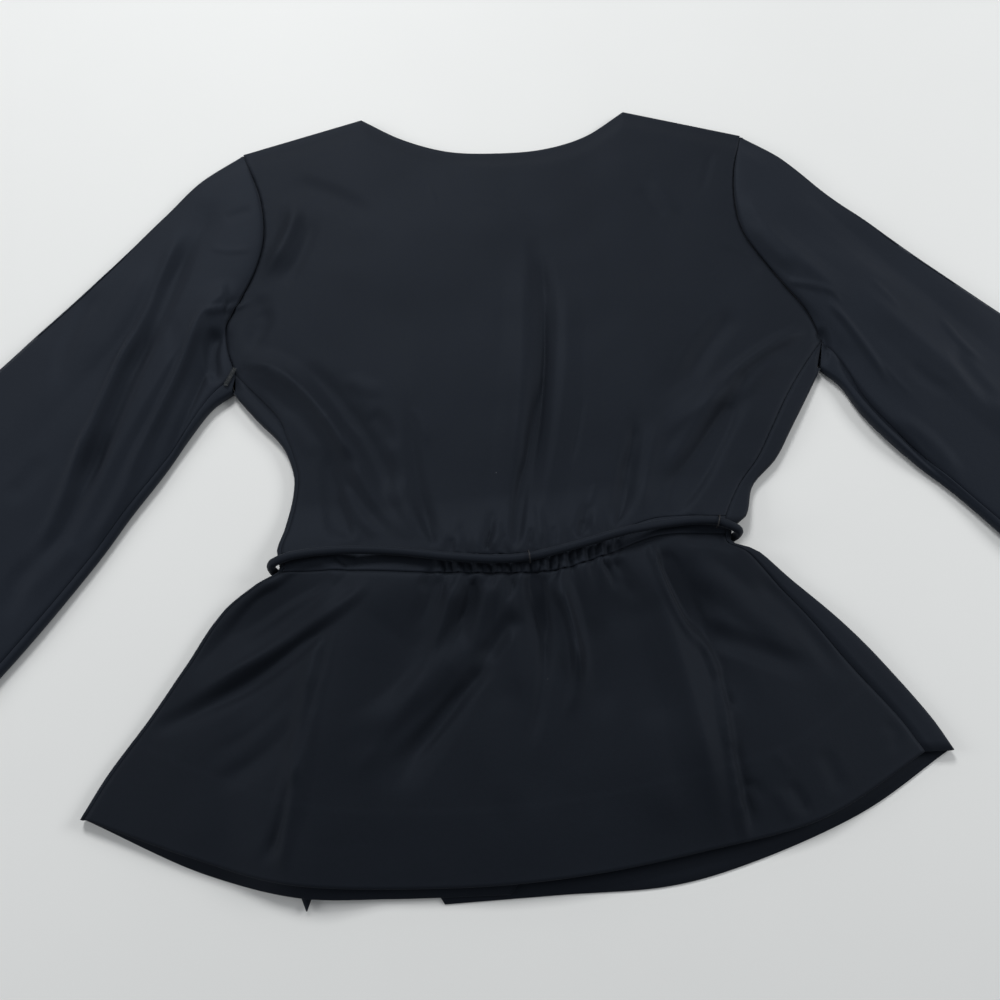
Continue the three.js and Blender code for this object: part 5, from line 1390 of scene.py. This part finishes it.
def make_hanger_loop(material):
    """A narrow clear tape, folded back on itself at its free end."""
    low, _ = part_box("hanger_loop")
    angle = math.radians(LOOP_TURN)
    ahead = np.array([math.cos(angle), math.sin(angle), 0])
    side = np.array([-ahead[1], ahead[0], 0])
    start = np.array([*LOOP_START, low.z / MM - SHIFT[2] + 0.5])
    along = np.concatenate([np.linspace(0, LOOP_LENGTH, 16), np.linspace(LOOP_LENGTH, 0.4, 16)])
    lift = np.concatenate([np.full(16, -0.3), np.full(16, 0.3)])
    lift[15:17] = (-0.28, 0.28)
    path = start + ahead * along[:, None] + np.array([0, 0, 1.0]) * lift[:, None]
    path = np.insert(path, 16, start + ahead * (LOOP_LENGTH + 0.35), axis=0)
    wide = np.linspace(-LOOP_WIDTH / 2, LOOP_WIDTH / 2, 5)
    grid = path[:, None] + side * wide[None, :, None]
    vertices, faces, _ = shell(grid, LOOP_WALL, 0.03)
    stand_for("hanger_loop", add_object("hanger_loop_tape", vertices, faces, material))


# ---------------------------------------------------------------- materials

class Wire:
    """A shader socket that takes part in arithmetic."""

    def __init__(self, shader, socket):
        self.shader = shader
        self.socket = socket

    def _with(self, operation, other, flipped=False):
        values = (other, self) if flipped else (self, other)
        return self.shader.node("ShaderNodeMath", {"operation": operation}, {0: values[0], 1: values[1]})

    def __add__(self, other):
        return self._with("ADD", other)

    def __sub__(self, other):
        return self._with("SUBTRACT", other)

    def __mul__(self, other):
        return self._with("MULTIPLY", other)

    def __truediv__(self, other):
        return self._with("DIVIDE", other)

    def __rsub__(self, other):
        return self._with("SUBTRACT", other, True)

    def __lt__(self, other):
        return self._with("LESS_THAN", other)

    __radd__ = __add__
    __rmul__ = __mul__


class Shader:
    """A material's node tree, built one node at a time."""

    def __init__(self, name):
        self.material = bpy.data.materials.new(name)
        self.material.use_nodes = True
        self.tree = self.material.node_tree
        self.tree.nodes.clear()

    def node(self, kind, settings=None, sockets=None, output=0):
        """Adds a node, makes its settings, fills its sockets and gives one of its outputs."""
        made = self.tree.nodes.new(kind)
        for key, value in (settings or {}).items():
            setattr(made, key, value)
        for key, value in (sockets or {}).items():
            if isinstance(value, Wire):
                self.tree.links.new(value.socket, made.inputs[key])
            else:
                made.inputs[key].default_value = value
        return Wire(self, made.outputs[output]) if made.outputs else None

    def noise(self, scale, detail, **more):
        """Noise on the object's own coordinates."""
        place = self.node("ShaderNodeTexCoord", None, None, 3)
        inputs = {"Vector": place, "Scale": scale, "Detail": detail, **more}
        return self.node("ShaderNodeTexNoise", None, inputs)

    def blend(self, share, low, high):
        """Mixes two colours, each a socket or three numbers."""
        low, high = (c if isinstance(c, Wire) else (*c, 1) for c in (low, high))
        return self.node("ShaderNodeMix", {"data_type": "RGBA"}, {0: share, 6: low, 7: high}, 2)

    def finish(self, surface):
        self.node("ShaderNodeOutputMaterial", None, {"Surface": surface})
        return self.material


def toned(colour, factor):
    return tuple(c * factor for c in colour)


def crepe(colours, name, painted_light_factor, sheen):
    """Black crepe: a fine pebbled weave, soft patches, seams and hems that are smoother and painted a
    little lighter as a painted sheen, a few specks of lint, and each part's painted light and shade.
    """
    s = Shader(name)
    pebble = s.noise(1500, 2, Roughness=0.6)
    slub = s.noise(380, 3, Roughness=0.55)
    patchy = s.noise(14, 3, Roughness=0.5)
    seam = s.node("ShaderNodeAttribute", {"attribute_name": "seam"}, None, 2)
    # Near seams and hems the colour is painted a little lighter, a painted sheen of the pressed cloth; the
    # roughness there is also lowered
    tone = patchy * 0.34 + pebble * 0.3 + slub * 0.2 + seam * 0.14
    # Each part's copy is painted lighter or darker by its factor, as painted light and shade standing in
    # for how light falls on that part
    base = s.blend(tone, toned(colours.cloth_dark, painted_light_factor * 0.62), toned(colours.cloth, painted_light_factor * 1.3))
    place = s.node("ShaderNodeTexCoord", None, None, 3)
    speck = s.node("ShaderNodeTexVoronoi", None, {"Vector": place, "Scale": 42})
    chance = s.node("ShaderNodeTexVoronoi", None, {"Vector": place, "Scale": 42}, 1)
    level = s.node("ShaderNodeSeparateColor", None, {0: chance})
    lint = (speck < 0.016) * (level < 0.16)
    colour = s.blend(lint * 0.5, base, (0.16, 0.16, 0.165))
    rough = 0.58 + pebble * 0.14 - seam * 0.05
    height = pebble * 0.6 + slub * 0.5
    bump_ = s.node("ShaderNodeBump", None, {"Strength": 0.5, "Distance": 0.00022, "Height": height})
    return s.finish(s.node("ShaderNodeBsdfPrincipled", None, {
        "Base Color": colour, "Roughness": rough, "Normal": bump_, "Specular IOR Level": 0.17,
        "Specular Tint": (0.68, 0.8, 1.0, 1),
        "Sheen Weight": sheen, "Sheen Roughness": 0.45, "Sheen Tint": (0.72, 0.78, 0.9, 1),
    }))


def thread(colours):
    """Twisted thread, a little smoother than the cloth."""
    s = Shader("thread")
    fibre = s.noise(2600, 2)
    base = s.blend(fibre, toned(colours.thread, 0.7), toned(colours.thread, 1.5))
    bump_ = s.node("ShaderNodeBump", None, {"Strength": 0.4, "Distance": 0.0001, "Height": fibre})
    return s.finish(s.node("ShaderNodeBsdfPrincipled", None, {
        "Base Color": base, "Roughness": 0.55, "Normal": bump_, "Specular IOR Level": 0.4,
    }))


def clear_tape(colours):
    """Clear tape, with the black cloth showing through."""
    s = Shader("clear_tape")
    wave = s.noise(220, 1)
    base = s.blend(wave, toned(colours.tape, 0.5), colours.tape)
    bump_ = s.node("ShaderNodeBump", None, {"Strength": 0.3, "Distance": 0.0012, "Height": wave})
    return s.finish(s.node("ShaderNodeBsdfPrincipled", None, {
        "Base Color": base, "Roughness": 0.2, "Normal": bump_, "Specular IOR Level": 0.15, "Alpha": 0.3,
    }))


def floor_paint(colours):
    """Pale floor with a faint grain."""
    s = Shader("floor")
    base = s.blend(s.noise(9, 4), toned(colours.floor, 0.97), colours.floor)
    return s.finish(s.node("ShaderNodeBsdfPrincipled", None, {"Base Color": base, "Roughness": 0.6}))


# ---------------------------------------------------------------- settings and operators

class WrapTopSizes(bpy.types.PropertyGroup):
    wall: FloatProperty(
        name="Cloth", description="Thickness of the cloth", default=0.001, unit="LENGTH")
    tie_diameter: FloatProperty(
        name="Tie", description="Diameter of the tie", default=0.006, unit="LENGTH")
    crease_depth: FloatProperty(
        name="Creases", description="Depth of the finer folds, 1 as laid", default=1.0,
        subtype="FACTOR", min=0, max=1.5)
    pitch: FloatProperty(
        name="Back mesh", description="Spacing of the back's mesh", default=0.002, unit="LENGTH")
    sleeve_pitch: FloatProperty(
        name="Sleeve mesh", description="Spacing of the sleeves' mesh", default=0.0028, unit="LENGTH")
    front_pitch: FloatProperty(
        name="Front mesh", description="Spacing of the fronts' mesh", default=0.005, unit="LENGTH")
    camera_height: FloatProperty(
        name="Camera height", description="Height of the camera above the cloth", default=0.6524,
        unit="LENGTH")
    camera_pitch: FloatProperty(
        name="Camera pitch", description="Angle of the view below the horizon",
        default=math.radians(70), subtype="ANGLE", unit="ROTATION")
    camera_turn: FloatProperty(
        name="Camera turn", description="Turn of the view towards the right sleeve",
        default=math.radians(3.5), subtype="ANGLE", unit="ROTATION")


class WrapTopColours(bpy.types.PropertyGroup):
    cloth: FloatVectorProperty(
        name="Cloth", description="Lighter tone of the crepe", subtype="COLOR",
        default=(0.0080, 0.0102, 0.0150))
    cloth_dark: FloatVectorProperty(
        name="Cloth, dark", description="Darker tone of the crepe", subtype="COLOR",
        default=(0.0050, 0.0066, 0.0100))
    thread: FloatVectorProperty(
        name="Thread", description="Carrier thread", subtype="COLOR", default=(0.012, 0.012, 0.014))
    tape: FloatVectorProperty(
        name="Tape", description="Clear hanger tape", subtype="COLOR", default=(0.05, 0.055, 0.06))
    floor: FloatVectorProperty(
        name="Floor", description="Pale floor", subtype="COLOR", default=(0.80, 0.81, 0.80))


SHARED = {}


def shared(key, make):
    """One cloth relief and one of each material serve all the pieces."""
    if key not in SHARED:
        SHARED[key] = make()
    return SHARED[key]


def relief(context):
    return shared("relief", lambda: Cloth(context.scene.wrap_top_sizes.crease_depth))


# Each part's crepe is its own copy, painted lighter or darker as painted light and shade
def crepe_of(context, name):
    return shared(name, lambda: crepe(context.scene.wrap_top_colours, name, *CREPE_PAINTED_LIGHT_AND_SHEEN[name]))


class WRAPTOP_OT_stage(bpy.types.Operator):
    """Adds the pale floor, the studio light and the camera"""
    bl_idname = "wraptop.stage"
    bl_label = "Floor, light and camera"

    def execute(self, context):
        sizes, colours = context.scene.wrap_top_sizes, context.scene.wrap_top_colours
        mesh = bpy.data.meshes.new("floor")
        corners = [(x * FLOOR_REACH, y * FLOOR_REACH, 0) for x, y in ((-1, -1), (1, -1), (1, 1), (-1, 1))]
        mesh.from_pydata(corners, [], [(0, 1, 2, 3)])
        mesh.materials.append(floor_paint(colours))
        floor = bpy.data.objects.new("floor", mesh)
        floor.location.z = -FLOOR_DROP
        context.scene.collection.objects.link(floor)

        pitch, turn = sizes.camera_pitch, sizes.camera_turn
        aim = (np.array(CAMERA_AIM) + SHIFT) * MM
        height = sizes.camera_height - aim[2]
        ahead = np.array([math.sin(turn), math.cos(turn), 0])
        place = Vector(aim - ahead * height / math.tan(pitch) + np.array([0, 0, height]))
        data = bpy.data.cameras.new("camera")
        data.lens = CAMERA_LENS
        data.sensor_width = 36
        data.clip_start = 0.01
        camera = bpy.data.objects.new("camera", data)
        camera.location = place
        camera.rotation_euler = (Vector(aim) - place).to_track_quat("-Z", "Y").to_euler()
        context.scene.collection.objects.link(camera)
        context.scene.camera = camera

        for row in LAMPS:
            light = bpy.data.lights.new(row.name, "AREA")
            light.energy = row.energy
            light.size = row.size
            lamp = bpy.data.objects.new(row.name, light)
            lamp.location = row.at
            lamp.rotation_euler = (Vector((0, 0, 0)) - Vector(row.at)).to_track_quat("-Z", "Y").to_euler()
            context.scene.collection.objects.link(lamp)
        world = bpy.data.worlds.new("studio")
        world.use_nodes = True
        world.node_tree.nodes["Background"].inputs[0].default_value = SKY_COLOUR
        world.node_tree.nodes["Background"].inputs[1].default_value = SKY_STRENGTH
        context.scene.world = world
        context.scene.view_settings.view_transform = "Standard"
        return {"FINISHED"}


class WRAPTOP_OT_back_bodice(bpy.types.Operator):
    """Adds the back bodice, gathered into the waist"""
    bl_idname = "wraptop.back_bodice"
    bl_label = "Back bodice"

    def execute(self, context):
        sizes = context.scene.wrap_top_sizes
        make_back_bodice(sizes, relief(context), crepe_of(context, "crepe_back"))
        return {"FINISHED"}


class WRAPTOP_OT_back_peplum(bpy.types.Operator):
    """Adds the back peplum, flared from the waist to the hem"""
    bl_idname = "wraptop.back_peplum"
    bl_label = "Back peplum"

    def execute(self, context):
        sizes = context.scene.wrap_top_sizes
        make_back_peplum(sizes, relief(context), crepe_of(context, "crepe_peplum"))
        return {"FINISHED"}


class WRAPTOP_OT_fronts(bpy.types.Operator):
    """Adds the two wrapped fronts with their peplums, which lie underneath"""
    bl_idname = "wraptop.fronts"
    bl_label = "Fronts"

    def execute(self, context):
        sizes = context.scene.wrap_top_sizes
        for front in FRONTS:
            make_front(front, sizes, relief(context), crepe_of(context, "crepe_back"))
        return {"FINISHED"}


class WRAPTOP_OT_casing(bpy.types.Operator):
    """Adds the narrow gathered casing at the back waist"""
    bl_idname = "wraptop.casing"
    bl_label = "Waist casing"

    def execute(self, context):
        sizes = context.scene.wrap_top_sizes
        make_casing(sizes, relief(context), crepe_of(context, "crepe_back"))
        return {"FINISHED"}


class WRAPTOP_OT_sleeves(bpy.types.Operator):
    """Adds the two sleeves, flattened and spread to the sides"""
    bl_idname = "wraptop.sleeves"
    bl_label = "Sleeves"

    def execute(self, context):
        for node, sections, armhole, notch, outward in (
            ("left_sleeve", LEFT_SLEEVE, LEFT_ARMHOLE, LEFT_NOTCH, -1),
            ("right_sleeve", RIGHT_SLEEVE, RIGHT_ARMHOLE, RIGHT_NOTCH, 1),
        ):
            make_sleeve(
                node, sections, armhole, notch, outward, context.scene.wrap_top_sizes,
                relief(context), crepe_of(context, "crepe_sleeves"),
            )
        return {"FINISHED"}


class WRAPTOP_OT_tie(bpy.types.Operator):
    """Adds the round tie with its flat point"""
    bl_idname = "wraptop.tie"
    bl_label = "Tie"

    def execute(self, context):
        make_tie(context.scene.wrap_top_sizes, crepe_of(context, "crepe_back"))
        return {"FINISHED"}


class WRAPTOP_OT_carriers(bpy.types.Operator):
    """Adds the two thread carriers that hold the tie"""
    bl_idname = "wraptop.carriers"
    bl_label = "Thread carriers"

    def execute(self, context):
        material = thread(context.scene.wrap_top_colours)
        make_carrier("carrier_back", BACK_CARRIER, material)
        make_carrier("carrier_side", SIDE_CARRIER, material)
        return {"FINISHED"}


class WRAPTOP_OT_hanger_loop(bpy.types.Operator):
    """Adds the clear tape loop at the left underarm"""
    bl_idname = "wraptop.hanger_loop"
    bl_label = "Hanger loop"

    def execute(self, context):
        make_hanger_loop(clear_tape(context.scene.wrap_top_colours))
        return {"FINISHED"}


OPERATORS = (
    WRAPTOP_OT_stage, WRAPTOP_OT_tie, WRAPTOP_OT_back_bodice, WRAPTOP_OT_back_peplum, WRAPTOP_OT_fronts,
    WRAPTOP_OT_casing, WRAPTOP_OT_sleeves, WRAPTOP_OT_carriers, WRAPTOP_OT_hanger_loop,
)


class WRAPTOP_PT_panel(bpy.types.Panel):
    """Lists the settings and the pieces"""
    bl_idname = "WRAPTOP_PT_panel"
    bl_label = "Wrap top"
    bl_space_type = "VIEW_3D"
    bl_region_type = "UI"
    bl_category = "Wrap top"

    def draw(self, context):
        for settings in (context.scene.wrap_top_sizes, context.scene.wrap_top_colours):
            for key in settings.bl_rna.properties.keys():
                if key not in ("rna_type", "name"):
                    self.layout.prop(settings, key)
        for operator in OPERATORS:
            self.layout.operator(operator.bl_idname)


CLASSES = (WrapTopSizes, WrapTopColours, *OPERATORS, WRAPTOP_PT_panel)


def register():
    for cls in CLASSES:
        bpy.utils.register_class(cls)
    bpy.types.Scene.wrap_top_sizes = PointerProperty(type=WrapTopSizes)
    bpy.types.Scene.wrap_top_colours = PointerProperty(type=WrapTopColours)


def unregister():
    del bpy.types.Scene.wrap_top_colours
    del bpy.types.Scene.wrap_top_sizes
    for cls in reversed(CLASSES):
        bpy.utils.unregister_class(cls)


def main():
    register()
    for operator in OPERATORS:
        group, name = operator.bl_idname.split(".")
        getattr(getattr(bpy.ops, group), name)()


if __name__ == "__main__":
    main()
